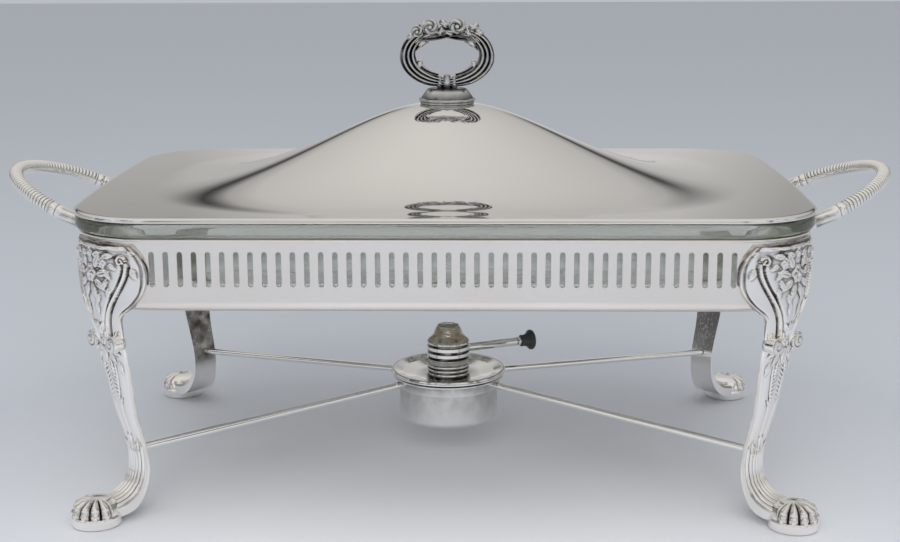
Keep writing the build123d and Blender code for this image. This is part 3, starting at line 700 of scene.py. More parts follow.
def makeLegPatches(backDarkReflection):
    outer = np.array(leg["outer"], float)
    inner = np.array(leg["inner"], float)
    travel = np.concatenate([[0], np.cumsum(np.hypot(*np.diff(outer, axis=0).T))])
    at = np.linspace(0, travel[-1], leg["rows"])
    outU, outZ = smoothCurve(travel, outer[:, 0], at), smoothCurve(travel, outer[:, 1], at)
    inU, inZ = smoothCurve(travel, inner[:, 0], at), smoothCurve(travel, inner[:, 1], at)
    inU = np.where(outZ > 120, 202.0, inU)
    halfWidth = smoothCurve(travel, leg["halfWidth"], at)
    bend = smoothCurve(travel, leg["bend"], at)
    tangent = np.stack([np.gradient(outU), np.gradient(outZ)], -1)
    tangent /= np.linalg.norm(tangent, axis=1, keepdims=True)
    normal = np.stack([-tangent[:, 1], tangent[:, 0]], -1)
    upper = smoothStep(112, 120, outZ)[:, None]
    normal = normal * (1 - upper) + np.array([1.0, 0.0]) * upper
    across = np.linspace(-1, 1, leg["frontCols"])
    a = across[None] * halfWidth[:, None]
    foot = np.interp(at, travel, np.where(outer[:, 1] > 28, outer[:, 1], 28 - (travel - travel[16])))
    relief = legRelief(a, foot[:, None] + 0 * a, halfWidth[:, None] + 0 * a)
    edgeRound = 1.1 * np.clip((np.abs(across) - 0.93) / 0.07, 0, 1)[None] ** 2
    relief = relief * smoothStep(0, 3.0, outZ - 9.5)[:, None]
    lift = relief - edgeRound
    angle = a * bend[:, None]
    out = (np.cos(angle) - 1) / bend[:, None] + lift * np.cos(angle)
    wide = np.sin(angle) / bend[:, None] + lift * np.sin(angle)
    frontU = outU[:, None] + normal[:, :1] * out
    frontZ = outZ[:, None] + normal[:, 1:] * out
    backAcross = np.linspace(1, -1, leg["backCols"])[None]
    backAngle = backAcross * (halfWidth * bend)[:, None]
    wallRadius = tray["corner"] + 0.06
    wallU = cornerU + wallRadius * np.cos(backAngle)
    wallWide = wallRadius * np.sin(backAngle)
    flatWide = np.sin(backAngle) / bend[:, None] * 0.97
    flatU = inU[:, None] + 0 * backAngle
    backU = np.where(upper > 0, wallU * upper + flatU * (1 - upper), flatU)
    backWide = wallWide * upper + flatWide * (1 - upper)
    backZ = inZ[:, None] * (1 - upper) + outZ[:, None] * upper + 0 * backAngle
    u = np.concatenate([frontU, backU], 1)
    w = np.concatenate([wide, backWide], 1)
    z = np.maximum(np.concatenate([frontZ, backZ], 1), 0.3)
    # painted dark reflection on the inner face, set per leg, over a faint base value
    onBack = 0.04 + backDarkReflection * smoothStep(24, 34, outZ) * (1 - smoothStep(112, 118, outZ))
    # painted shade in the hollows of the relief
    dirt = np.concatenate([hollows(relief, 12, 3.4), onBack[:, None] + 0 * backU], 1)
    return [gridPatch(onDiagonal(u, w, z), capFirst=True, capLast=True, dirt=dirt)]


scroll = {"radius": 4.4, "inner": 195.8, "outer": 204.4, "w": 9.4, "z": 98.6}


def makeScrollPatches():
    # a rolled end on each side: a short roller pointing outwards, with a spiral groove on its face
    patches = []
    face = 0.86 + 0.14 * np.sin(np.linspace(0.1, 1, 40) * math.pi / 2)
    along = np.concatenate([[0, 0.1, 0.3, 0.5, 0.7, 0.86], face])
    size = np.concatenate([[0.7, 0.94, 1.0, 0.97, 1.0, 1.0], np.linspace(0.99, 0.03, 40) ** 0.8])
    angles = fullTurn(64)
    for sign in (-1, 1):
        spiral = np.abs(np.sin((angles[None] * sign + size[:, None] * 11) / 2)) ** 0.4
        onFace = smoothStep(0.88, 0.93, along)[:, None] * smoothStep(0.05, 0.3, size)[:, None]
        radius = scroll["radius"] * size[:, None] + 0 * spiral
        sunk = along[:, None] - 0.10 * (1 - spiral) * onFace
        u = scroll["inner"] + (scroll["outer"] - scroll["inner"]) * sunk
        w = sign * scroll["w"] + radius * np.cos(angles)[None]
        z = scroll["z"] + radius * np.sin(angles)[None] * 1.05
        # painted shade in the spiral groove and where the roll meets the leg
        dirt = np.clip(1.2 * (1 - spiral) * onFace + 0.5 * (along < 0.05)[:, None], 0, 1)
        patches.append(gridPatch(onDiagonal(u, w, z), capFirst=True, capLast=True, dirt=dirt))
    return patches


paw = {
    "u": 211.1, "radius": 13.2, "height": 14.6, "toes": 7, "spacing": 2 * math.pi / 13, "rows": 90, "cols": 260,
}


def makePawPatches():
    # a round cushion: a smooth sole band, then toes that run over the top with grooves between them
    level = np.linspace(0, 1, paw["rows"])
    stops = [0, 0.06, 0.1, 0.3, 0.34, 0.38, 0.45, 0.56, 0.7, 0.84, 0.94, 1]
    radius = np.interp(level, stops, [0.2, 0.95, 1, 1, 0.985, 0.93, 0.94, 0.90, 0.79, 0.55, 0.28, 0.02])
    height = np.interp(level, stops, [0, 0, 0.05, 0.34, 0.38, 0.41, 0.5, 0.66, 0.83, 0.95, 0.99, 1.0])
    radius = smoothed(radius)
    height = smoothed(height)
    height[:3] = 0
    angles = np.linspace(-math.pi, math.pi, paw["cols"], endpoint=False)
    front = smoothStep(-0.35, 0.15, np.cos(angles))[None]
    toeWave = np.abs(np.cos(angles * math.pi / paw["spacing"]))[None] ** 0.5
    toeOn = smoothStep(0.36, 0.42, level)[:, None] * (1 - smoothStep(0.86, 0.97, level)[:, None]) * front
    knuckle = 0.06 * hump(level[:, None] - 0.66, 0.06) + 0.05 * hump(level[:, None] - 0.48, 0.05)
    swell = toeOn * (0.15 * toeWave - 0.12 + knuckle * toeWave)
    size = paw["radius"] * (radius[:, None] + swell)
    rise = paw["height"] * (height[:, None] + toeOn * (0.10 * toeWave - 0.08))
    stretch = 1 + 0.05 * np.cos(angles)[None]
    u = paw["u"] + size * np.cos(angles)[None] * stretch
    w = size * np.sin(angles)[None] * 0.98
    z = np.clip(rise + 0 * angles[None], 0, paw["height"] * 1.02)
    # painted shade in the grooves between the toes and along the crease above the sole band
    groove = toeOn * (1 - toeWave) ** 1.5
    dirt = np.clip(2.2 * groove + 0.8 * hump(level[:, None] - 0.385, 0.02) * front, 0, 1)
    patches = [gridPatch(onDiagonal(u, w, z), capFirst=True, capLast=True, dirt=dirt)]
    t = np.linspace(0, 1, 14)
    ring = fullTurn(16)
    for number in range(paw["toes"]):
        direction = (number - (paw["toes"] - 1) / 2) * paw["spacing"]
        reach = paw["radius"] * (0.88 + 0.12 * np.sin(t * math.pi / 2))
        drop = 8.6 - 3.4 * t**1.3
        thick = 1.25 * np.sin(math.pi * np.clip(t * 0.86 + 0.12, 0, 1)) ** 0.7
        side = thick[:, None] * np.cos(ring)[None] * 1.05
        rise = thick[:, None] * np.sin(ring)[None] * 0.9
        out = reach[:, None] + rise * 0.7
        stretch = 1 + 0.05 * math.cos(direction)
        cu = paw["u"] + out * math.cos(direction) * stretch - side * math.sin(direction)
        cw = (out * math.sin(direction) + side * math.cos(direction)) * 0.98
        cz = np.maximum(drop[:, None] + rise * 0.7, 0.4)
        patches.append(gridPatch(onDiagonal(cu, cw, cz), capFirst=True, capLast=True, dirt=0.05))
    return patches


castOnTray = ("tray_frame", "cast_silver_plate", castSilver)

# the sign of x and of y at each corner of the tray
trayCorners = {"back_right": (1, 1), "back_left": (-1, 1), "front_right": (1, -1), "front_left": (-1, -1)}
# how much painted dark reflection each leg's inner face carries
legBackDarkReflection = {"back_right": 0.0, "back_left": 0.85, "front_right": 0.5, "front_left": 0.5}


def cornerName(start, place):
    return start + "".join(word.capitalize() for word in place.split("_"))


def makeLegs():
    shared = makeScrollPatches() + makePawPatches()
    for place, signs in trayCorners.items():
        patches = mirrored(makeLegPatches(legBackDarkReflection[place]) + shared, *signs)
        name = cornerName("leg", place)
        buildPiece(name, patches, *castOnTray, ["leg_" + place], 60)


makeLegs()
print("legs made")

handle = {
    "startX": 199.4, "startZ": 150.5, "slope": 24.0, "radius": 52.0, "straight": 2.5, "grip": 4.08,
    "pitch": 2.25, "plainEnd": 21.0, "rows": 1000, "cols": 40,
}


def handleFrame(distance):
    # distance along the half ring from its front end: point, outward side and up direction
    straight, radius = handle["straight"], handle["radius"]
    turn = np.clip((distance - straight) / radius, 0, math.pi)
    before = np.minimum(distance - straight, 0)
    after = np.maximum(distance - straight - math.pi * radius, 0)
    x = straight + radius * np.sin(turn) + before - after
    y = -radius * np.cos(turn)
    slope = math.radians(handle["slope"])
    path = np.stack([handle["startX"] + x * math.cos(slope), y, handle["startZ"] + x * math.sin(slope)], -1)
    side = np.stack([np.sin(turn) * math.cos(slope), -np.cos(turn), np.sin(turn) * math.sin(slope)], -1)
    up = np.broadcast_to(np.array([-math.sin(slope), 0, math.cos(slope)]), side.shape)
    return path, side, up


def makeGripPatches():
    # a round bar whose outer side is ribbed: the radius falls to a sharp groove once per pitch
    length = 2 * handle["straight"] + math.pi * handle["radius"]
    distance = np.linspace(0, length, handle["rows"])
    path, side, up = handleFrame(distance)
    around = np.linspace(0, 2 * math.pi, handle["cols"], endpoint=False)
    fromEnd = np.minimum(distance, length - distance)
    ribbed = smoothStep(handle["plainEnd"] - 0.6, handle["plainEnd"] + 0.6, fromEnd)[:, None]
    outside = smoothStep(-0.35, -0.05, np.cos(around - math.radians(50)))[None]
    wave = 1 - np.abs(np.sin(math.pi * distance / handle["pitch"]))[:, None] ** 0.55
    groove = 0.95 * wave * ribbed * outside
    cuffStops = [0, 1.2, 1.6, 2.4, 14.5, 15.4, 16.0, 16.6, 17.6, 18.6, 19.6, 20.6]
    cuff = np.interp(fromEnd, cuffStops, [0.0, 0.05, 0.35, 0.6, 0.15, 0.0, 0.0, 0.7, 0.1, 0.0, 0.1, 0.6])
    leafy = smoothStep(1.5, 4, fromEnd) * (1 - smoothStep(12, 15, fromEnd))
    lobes = 1 - np.abs(np.cos(3 * around + 0.12 * fromEnd[:, None])) ** 0.7
    petal = 0.45 * (1 - ribbed) * lobes * leafy[:, None]
    radius = handle["grip"] - groove - np.broadcast_to(cuff[:, None], groove.shape) * (1 - ribbed) - petal
    inward = 0.35 * (1 - outside) * ribbed
    radius = radius - inward
    # painted shade in the rib grooves, the cuff rings and the leaf hollows
    grooveShade = 1.1 * smoothStep(0.3, 0.75, wave) * ribbed * outside
    cuffShade = 0.8 * (1 - ribbed) * smoothStep(0.4, 0.7, cuff)[:, None]
    dirt = np.clip(grooveShade + cuffShade + 1.6 * petal, 0, 1)
    points = carry(path, side, up, radius * np.cos(around), radius * np.sin(around))
    return [gridPatch(points, capFirst=True, capLast=True, dirt=dirt)]


collar = {"plateWidth": 7.4, "plateHeight": 8.4, "plateDrop": 3.0}


def makeCollarPatches():
    # a leafy knuckle from the grip down to the end wall, and a scalloped leaf on the wall
    slope = math.radians(handle["slope"])
    y = handle["radius"]
    wallX = float(endWallX(y))
    run = (handle["startX"] - wallX) / math.cos(slope)
    share = np.linspace(0, 1, 60)
    around = fullTurn(60)
    stops = [0, 0.05, 0.16, 0.24, 0.34, 0.5, 0.72, 0.9, 1]
    radius = np.interp(share, stops, [4.2, 5.2, 5.35, 4.7, 4.5, 4.2, 4.7, 5.8, 6.4])
    radius = smoothed(radius)
    lobes = smoothStep(0.26, 0.45, share)[:, None] * (np.abs(np.cos(3.5 * around))[None] ** 0.6 - 0.6) * 0.16
    size = radius[:, None] * (1 + lobes)
    direction = np.array([-math.cos(slope), 0, -math.sin(slope)])
    path = np.array([handle["startX"], y, handle["startZ"]]) + share[:, None] * direction * run
    side = np.broadcast_to(np.array([0.0, 1.0, 0.0]), path.shape)
    up = np.broadcast_to(np.array([-math.sin(slope), 0, math.cos(slope)]), path.shape)
    socket = carry(path, side, up, size * np.cos(around), size * np.sin(around))
    socket[..., 0] = np.maximum(socket[..., 0], endWallX(socket[..., 1]) + 0.06)
    # painted shade in the hollows of the knuckle and along its waist
    dirt = np.clip(hollows(size, 6, 3.5) + 0.7 * hump(share - 0.27, 0.03)[:, None], 0, 1)
    patches = [gridPatch(socket, capFirst=True, capLast=True, dirt=dirt)]
    level = np.linspace(0, 1, 30)
    reach = np.concatenate([level[:-1], [1, 1]])
    angles = fullTurn(90)
    scallop = 1 - 0.09 * (1 - np.abs(np.cos(4.5 * angles))) ** 1.5
    rootZ = path[-1, 2] - collar["plateDrop"]
    py = y + reach[:, None] * scallop[None] * collar["plateWidth"] * np.cos(angles)[None]
    pz = rootZ + reach[:, None] * scallop[None] * collar["plateHeight"] * np.sin(angles)[None]
    dome = np.sqrt(np.clip(1 - reach**3, 0, 1))[:, None] * 1.7 + 0.5
    vein = 0.5 * (np.abs(np.cos(4.5 * angles))[None] ** 0.5 - 0.5)
    vein = vein * smoothStep(0.25, 0.6, reach)[:, None] * (reach < 0.999)[:, None]
    height = dome + vein
    height[-1] = 0.0
    px = endWallX(py) + 0.06 + height
    plate = np.stack([px, py, pz], -1)[::-1]
    # painted shade in the hollows of the leaf plate
    patches.append(gridPatch(plate, capFirst=True, capLast=True, dirt=hollows(height, 5, 2.5)[::-1]))
    return patches


def makeHandles():
    grip = makeGripPatches()
    for side, sign in (("right", 1), ("left", -1)):
        patches = mirrored(grip, sign, 1)
        name = cornerName("handleGrip", side)
        buildPiece(name, patches, *castOnTray, ["handle_grip_" + side], 60)
    socket = makeCollarPatches()
    for place, signs in trayCorners.items():
        name, node = cornerName("handleCollar", place), "handle_collar_" + place
        patches = mirrored(socket, *signs)
        buildPiece(name, patches, *castOnTray, [node], 60)


makeHandles()
print("handles made")

finial = {"baseZ": 210.82, "loopZ": 219.42, "loopTop": 256.6, "bandHalfWidth": 22.5, "footDepth": 0.84}


def makeFinialBase():
    # stepped foot: an oval lathe with eight soft facets on its shoulder
    z = finial["baseZ"]
    profile = roundCorners(
        [
            (2.7, z), (15.4, z), (15.6, z + 0.8), (14.9, z + 1.2), (16.2, z + 1.7), (16.3, z + 2.7),
            (15.0, z + 3.3), (12.4, z + 7.0), (11.6, z + 7.9), (10.6, z + 8.6), (2.7, z + 8.6),
        ],
        [0, 0.3, 0.3, 0.3, 0.4, 0.4, 0.4, 0.5, 0.3, 0.4, 0], 5,
    )
    points = lathe(profile, 160, lambda angle: 1 - 0.012 * (1 - np.cos(8 * angle)))
    points[..., 1] *= finial["footDepth"]
    # painted shade in the steps of the foot and where the loop stands on it
    heights = [0, 0.7, 1.2, 1.6, 2.8, 3.3, 4.2, 7.2, 7.9, 8.4]
    dirt = np.interp(profile[:, 1] - z, heights, [0.5, 0.3, 0.95, 0.3, 0.3, 0.9, 0.25, 0.25, 0.7, 0.95])
    patch = gridPatch(points, wrapRows=True, dirt=dirt[:, None])
    buildPiece("finialBase", [patch], "lid", "antique_silver_plate", antiqueSilver, ["finial_base"], 60)


def reedTube(centre, width, depth, reeds, dirtiness=1.0, cols=72):
    # a band along a curve in the XZ plane: across it the front swells and dips once per reed
    tangent = np.gradient(centre, axis=0)
    tangent /= np.linalg.norm(tangent, axis=1, keepdims=True)
    side = np.stack([tangent[:, 1], -tangent[:, 0]], -1)
    around = fullTurn(cols)
    cross = np.sign(np.cos(around)) * np.abs(np.cos(around)) ** 0.8
    thick = np.sign(np.sin(around)) * np.abs(np.sin(around)) ** 0.8
    wave = np.abs(np.cos(reeds * math.pi * (cross + 1) / 2))
    reed = 1 - 0.42 * (1 - wave**0.5) * np.abs(np.sin(around)) ** 0.4
    across = width[:, None] * cross[None]
    y = depth[:, None] * (thick * reed)[None]
    flat = centre[:, None] + side[:, None] * across[..., None]
    points = np.stack([flat[..., 0], y, flat[..., 1]], -1)
    # painted shade in the valleys between the reeds
    dirt = np.clip(dirtiness * (1 - wave) * 4.4 * np.abs(np.sin(around)) ** 0.5, 0, 1)
    return gridPatch(points, capFirst=True, capLast=True, dirt=dirt[None])


def ovalCurve(startAngle, endAngle, halfWidth, halfHeight, middleZ, steps=80):
    t = np.radians(np.linspace(startAngle, endAngle, steps))
    return np.stack([halfWidth * np.sin(t), middleZ - halfHeight * np.cos(t)], -1)


def blob(x, y, z, sizeX, sizeY, sizeZ, wave=None, tilt=0.0, rows=30, cols=44):
    # a closed round form; wave(latitude, longitude) swells or dents its surface
    lat, lon = np.meshgrid(np.linspace(0.02, math.pi - 0.02, rows), fullTurn(cols), indexing="ij")
    swell = 1 + (wave(lat, lon) if wave else 0 * lat)
    px = sizeX * swell * np.sin(lat) * np.cos(lon)
    pz = sizeZ * swell * np.sin(lat) * np.sin(lon)
    py = -sizeY * swell * np.cos(lat)
    c, s = math.cos(math.radians(tilt)), math.sin(math.radians(tilt))
    points = np.stack([x + px * c - pz * s, y + py, z + px * s + pz * c], -1)
    # painted shade in the dents
    return gridPatch(points, capFirst=True, capLast=True, dirt=np.clip(-5.0 * (swell - 1), 0, 1))


def rosePetals(lat, lon):
    # wound petals seen from the front: narrow spiral grooves round a bead
    fromPole = np.minimum(lat, math.pi - lat)
    spiral = 1 - np.abs(np.cos(1.5 * lon + 3.2 * fromPole)) ** 0.45
    return -0.34 * spiral * smoothStep(0.22, 0.5, fromPole) - 0.22 * hump(fromPole - 0.36, 0.10)


def leafVeins(lat, lon):
    # a deep middle groove and scalloped edges
    scallops = 1 - np.abs(np.cos(3 * lon)) ** 0.6
    return -0.30 * hump(np.sin(lon), 0.2) * np.sin(lat) - 0.16 * scallops * np.sin(lat)


def makeFinialLoop():
    middle = (finial["loopZ"] + finial["loopTop"]) / 2
    halfHeight = (finial["loopTop"] - finial["loopZ"]) / 2 - 3.3
    patches = []
    for sign in (-1, 1):
        band = ovalCurve(4, 142, finial["bandHalfWidth"], halfHeight, middle, 120)
        band[:, 0] *= sign
        share = np.linspace(0, 1, len(band))
        width = np.interp(share, [0, 0.06, 0.2, 0.55, 0.85, 1], [2.2, 2.7, 3.7, 4.75, 3.9, 2.6])
        depth = np.interp(share, [0, 0.1, 0.5, 0.9, 1], [2.8, 3.4, 4.3, 4.0, 2.8])
        patches.append(reedTube(band, width, depth, 3.5))
        low = ovalCurve(16, 64, 17.6, halfHeight - 4.4, middle - 0.4, 40)
        low[:, 0] *= sign
        thin = np.interp(np.linspace(0, 1, 40), [0, 0.5, 0.85, 1], [1.0, 1.6, 1.9, 1.2])
        patches.append(reedTube(low, thin, thin * 1.7, 1.0, 0.5, 32))
        patches.append(blob(sign * 15.4, 0, 233.0, 2.1, 3.3, 2.7, rows=16, cols=24))
        high = ovalCurve(106, 146, 18.6, halfHeight - 4.4, middle, 30)
        high[:, 0] *= sign
        thin = np.interp(np.linspace(0, 1, 30), [0, 0.6, 1], [0.9, 2.0, 1.8])
        patches.append(reedTube(high, thin, thin * 1.5, 1.0, 0.5, 32))
        patches.append(blob(sign * 14.2, 0, 244.6, 3.2, 3.4, 1.9, tilt=sign * -34, rows=16, cols=24))
        patches.append(blob(sign * 17.2, 0, 246.6, 3.4, 3.2, 2.6, tilt=sign * -50, rows=16, cols=24))
    # two stems that cross like a flat S under the flowers, and a fuller bar behind them
    share = np.linspace(-1, 1, 90)
    weave = 1.1 * np.sin(math.pi * share)
    for lift in (-1, 1):
        stem = np.stack([16.0 * share, 247.4 + 1.9 * (1 - share**2) + lift * weave], -1)
        patches.append(reedTube(stem, np.full(90, 1.6), np.full(90, 3.3 + 0.3 * lift), 1.0, 0.8, 40))
    bar = ovalCurve(130, 230, 20.0, halfHeight - 1.6, middle, 60)
    patches.append(reedTube(bar, np.full(60, 3.0), np.full(60, 2.6), 2.0))
    for side in (-1, 1):
        y = side * 1.6
        flower = lambda lat, lon: rosePetals(lat, lon * side)
        for x, share, z, sizeX, sizeY, sizeZ, wave, tilt in (
            (-9.4, 1, 254.1, 4.9, 3.4, 4.5, flower, 20), (6.0, 1, 254.5, 5.2, 3.5, 4.7, flower, -10),
            (-16.8, 0.8, 251.4, 4.2, 2.9, 3.6, flower, 40), (15.4, 0.8, 254.2, 3.7, 2.3, 2.0, leafVeins, 14),
            (-1.5, 1, 255.9, 3.7, 2.4, 1.9, leafVeins, -38), (-3.4, 1, 251.6, 3.8, 2.2, 1.6, leafVeins, 48),
            (12.2, 1, 250.8, 3.7, 2.4, 1.8, leafVeins, -58), (18.2, 0.8, 250.6, 3.5, 2.5, 2.3, leafVeins, -30),
            (-20.4, 0.7, 248.6, 3.3, 2.4, 2.1, leafVeins, 55), (-13.6, 1, 255.7, 2.9, 2.0, 1.5, leafVeins, 25),
            (1.2, 1, 250.4, 3.9, 2.1, 1.2, leafVeins, -22),
        ):
            patches.append(blob(x, y * share, z, sizeX, sizeY, sizeZ, wave, tilt))
    z = finial["loopZ"]
    for offset, size, height in ((-4.1, 1.7, 6.6), (0, 2.35, 7.6), (4.1, 1.7, 6.6)):
        corners = [
            (0.05, z), (size, z), (size * 1.12, z + height * 0.5), (size * 0.8, z + height),
            (0.05, z + height + 0.5),
        ]
        profile = roundCorners(corners, [0, 0.3, 1.2, 0.7, 0], 6)
        points = lathe(profile, 40)
        points[..., 1] *= 1.5
        points[..., 0] += offset
        # painted shade where each foot meets the base, and a little at its top
        dirt = np.interp(profile[:, 1] - z, [0, 1, height * 0.55, height], [0.95, 0.4, 0.0, 0.4])
        patches.append(gridPatch(points, capFirst=True, capLast=True, dirt=dirt[:, None]))
    buildPiece("finialLoop", patches, "lid", "antique_silver_plate", antiqueSilver, ["finial_loop"], 60)


makeFinialBase()
makeFinialLoop()
print("finial made")

burner = {
    "cupTop": 51.2, "cupBottom": 23.6, "cup": 29.2, "cap": 34.0, "capTop": 53.6, "floor": 49.2, "tower": 12.8,
    "towerTop": 56.4, "neckTop": 62.0, "sleeveZ": 56.7, "coneTop": 79.3, "cupFlange": 31.7, "cupInner": 28.4,
    "core": 11.2, "wickHole": 6.65, "neck": 8.0, "ringPitch": 2.4, "sleeveBore": 8.35, "groove": 11.55,
    "groovePitch": 3.7, "bellHeight": 8.7,
}


def closedLathe(name, profile, dirt, body, slotName, material, replaced, steps=128):
    patch = gridPatch(lathe(profile, steps), wrapRows=True, dirt=np.asarray(dirt)[:, None])
    buildPiece(name, [patch], body, slotName, material, replaced, 40)


def makeCup():
    top, low, wall = burner["cupTop"], burner["cupBottom"], burner["cup"]
    flange, inner = burner["cupFlange"], burner["cupInner"]
    corners = [
        (0.05, low + 0.5), (22.0, low + 0.5), (22.6, low), (wall, low), (wall, top - 0.8), (flange, top - 0.8),
        (flange, top), (inner, top), (inner, low + 1.3), (0.05, low + 1.3),
    ]
    profile = roundCorners(corners, [0, 0.2, 0.2, 3.0, 0.1, 0.3, 0.3, 0.3, 2.2, 0], 8)
    # painted shade at the base and under the flange
    dirt = np.interp(profile[:, 1], [low, low + 1.5, low + 5, top - 3, top - 0.9], [0.4, 0.2, 0.0, 0.05, 0.6])
    closedLathe("burnerCup", profile, dirt, "burner", "burner_steel", burnerSteel, ["burner_cup"])


def makeCap():
    # a dished plate with a rolled double edge
    outer, top, floor, low = burner["cap"], burner["capTop"], burner["floor"], burner["cupTop"]
    corners = [
        (6.05, floor), (12.8, floor), (20.0, floor + 0.9), (27.0, floor + 2.5), (31.6, top - 0.2), (33.3, top),
        (33.7, top - 1.05), (33.2, top - 1.3), (outer, top - 1.5), (outer, low), (28.2, low), (24.4, floor + 0.7),
        (12.0, floor - 0.95), (6.05, floor - 0.95),
    ]
    profile = roundCorners(corners, [0, 3.0, 3.0, 3.0, 0.6, 0.5, 0.15, 0.1, 0.25, 0.4, 0.2, 0.5, 0.5, 0], 8)
    # painted shade round the foot of the tower and in the crease of the rolled edge
    radii = [6, 12.6, 13.4, 15, 31, 33.1, 33.3, 33.6]
    dirt = np.interp(profile[:, 0], radii, [0.8, 0.9, 0.2, 0.0, 0.05, 0.7, 0.5, 0.0])
    closedLathe("burnerCap", profile, dirt, "burner", "burner_steel", burnerSteel, ["burner_cap"])


def makeTower():
    outer, core, floor = burner["tower"], burner["core"], burner["floor"]
    hole, neck = burner["wickHole"], burner["neck"]
    corners = [(hole, floor), (core, floor)]
    for number in range(3):
        z = floor + 0.9 + number * burner["ringPitch"]
        corners += [
            (core, z), (outer - 0.25, z + 0.05), (outer, z + 0.5),
            (outer, z + 1.0), (outer - 0.25, z + 1.45), (core, z + 1.5),
        ]
    corners += [(neck, burner["towerTop"]), (neck, burner["neckTop"]), (hole, burner["neckTop"])]
    profile = np.array(corners, float)
    # painted shade in the gaps between the rings
    dirt = np.where(profile[:, 0] < outer - 0.4, 1.0, 0.1)
    closedLathe("ventTower", profile, dirt, "burner", "burner_steel", burnerSteel, ["vent_tower"])


def makeRegulatorCone():
    # a sleeve with three grooves darkened by painted shade, and a bell that narrows to a flat open tip
    outer, groove, z, tip = burner["tower"], burner["groove"], burner["sleeveZ"], burner["coneTop"]
    bore = burner["sleeveBore"]
    corners = [(bore, z), (outer - 0.1, z), (outer, z + 0.2)]
    for number in range(3):
        low = z + 3.2 + number * burner["groovePitch"]
        corners += [
            (outer, low - 0.15), (outer - 0.15, low), (groove, low),
            (groove, low + 1.6), (outer - 0.15, low + 1.6), (outer, low + 1.75),
        ]
    flat = np.array(corners, float)
    t = np.linspace(0, 1, 40)
    bellHeights = [0, 0.6, 1.8, 3.7, 5.9, 8.0, 8.7]
    bellZ = t * burner["bellHeight"]
    bellRadius = smoothCurve(bellHeights, [12.7, 12.3, 11.0, 9.2, 8.2, 7.2, 6.8], bellZ)
    bell = np.stack([bellRadius, z + 13.3 + bellZ], -1)
    tail = np.array([(6.4, tip - 0.05), (5.95, tip - 0.15), (5.75, tip - 0.6), (5.75, z + 7.0), (bore, z + 5.7)])
    profile = np.vstack([flat, bell, tail])
    high = profile[:, 1] - z
    # painted shade in the grooves and the bore, and a little where the bell starts
    dirt = np.interp(high, [12.8, 13.6, 14.4, 20, 22, 22.5], [0.1, 0.3, 0.1, 0.05, 0.1, 0.0])
    dirt = np.where(profile[:, 0] < outer - 1, np.where(high < 12.5, 1.0, dirt), dirt)
    closedLathe("regulatorCone", profile, dirt, "regulator", "burner_steel", heatedSteel, ["regulator_cone"])


ring = {"inner": 29.5, "band": 30.7, "flange": 33.1, "low": 43.6, "under": 49.1, "top": 50.1}


def makeRing():
    inner, band, flange = ring["inner"], ring["band"], ring["flange"]
    low, under, top = ring["low"], ring["under"], ring["top"]
    corners = [(inner, low), (band, low), (band, under), (flange, under), (flange, top), (inner, top)]
    profile = roundCorners(corners, [0, 0.3, 0.2, 0.35, 0.35, 0])
    # painted shade under the flange, and a little at the lower edge
    dirt = np.interp(profile[:, 1], [low, 45, 48.2, 49.0, 49.6], [0.3, 0.0, 0.2, 0.8, 0.1])
    closedLathe("burnerRing", profile, dirt, "tray_frame", "burner_steel", burnerSteel, ["burner_ring"])


arm = {"angle": 25.0, "start": 10.8, "length": 37.0, "radius": 2.5, "z": 64.0}


def makeArm():
    # a plain tube with a ferrule, then a stepped black knob, all turned round the arm's own axis
    direction = np.array([math.cos(math.radians(arm["angle"])), math.sin(math.radians(arm["angle"])), 0])
    side = np.array([-direction[1], direction[0], 0])
    around = fullTurn(48)

    def turned(profile, dirt):
        path = direction[None] * profile[:, :1] + np.array([0, 0, arm["z"]])
        size = profile[:, 1][:, None]
        sides, ups = (np.repeat(way[None], len(path), 0) for way in (side, np.array([0, 0, 1.0])))
        points = carry(path, sides, ups, size * np.cos(around), size * np.sin(around))
        return gridPatch(points, capFirst=True, capLast=True, dirt=np.asarray(dirt)[:, None])

    start, end = arm["start"], arm["start"] + arm["length"]
    wide = arm["radius"]
    neck = wide - 0.5
    corners = [
        (start, 1.0), (start, wide), (end - 3.0, wide), (end - 2.7, neck), (end - 2.4, neck), (end - 2.1, wide),
        (end, wide), (end, 1.0),
    ]
    tube = roundCorners(corners, [0, 0.1, 0.1, 0.1, 0.1, 0.1, 0.2, 0], 5)
    # painted shade in the neck groove and on the end faces
    tubePatch = turned(tube, np.where(tube[:, 1] < wide - 0.2, 0.9, 0.12))
    buildPiece("regulatorArm", [tubePatch], "regulator", "burner_steel", burnerSteel, ["regulator_arm"], 40)
    knob = roundCorners(
        [
            (end, 0.4), (end, 3.3), (end + 1.0, 3.7), (end + 1.6, 3.0), (end + 2.4, 3.5), (end + 4.4, 4.1),
            (end + 5.4, 5.3), (end + 6.1, 6.0), (end + 7.2, 6.15), (end + 8.0, 5.6), (end + 8.1, 4.6),
            (end + 8.6, 4.3),
            (end + 8.95, 3.2), (end + 8.95, 0.3),
        ],
        [0, 0.3, 0.3, 0.3, 0.4, 0.6, 0.4, 0.4, 0.4, 0.4, 0.2, 0.2, 0.2, 0], 5,
    )
    knobPatch = turned(knob, np.zeros(len(knob)))
    buildPiece("regulatorKnob", [knobPatch], "regulator", "dark_knob", knobBlack, ["regulator_knob"], 40)


makeCup()
makeCap()
makeTower()
makeRegulatorCone()
makeRing()
makeArm()
print("burner made")

keptNodes = {
    "gallery_frame": wallSilver, "wick_tube": burnerSteel, "wick": cottonWick,
    **{"finial_" + part: plainSteel for part in ("stud", "washer", "nut")},
    **{"burner_rod_" + place: burnerSteel for place in trayCorners},
}
for nodeName, material in keptNodes.items():
    for socket in nodes[nodeName].material_slots:
        socket.material = material
print("kept nodes painted")

# the room: a pale floor, and a studio that only the metal and the glass see

# the floor colour is painted lighter round the dish as a pool of light and darker further out
floorPaper = {"size": 6.0, "litPoolAt": (0, -0.12, 0), "pool": (0.70, 0.71, 0.73), "rest": (0.47, 0.49, 0.52)}


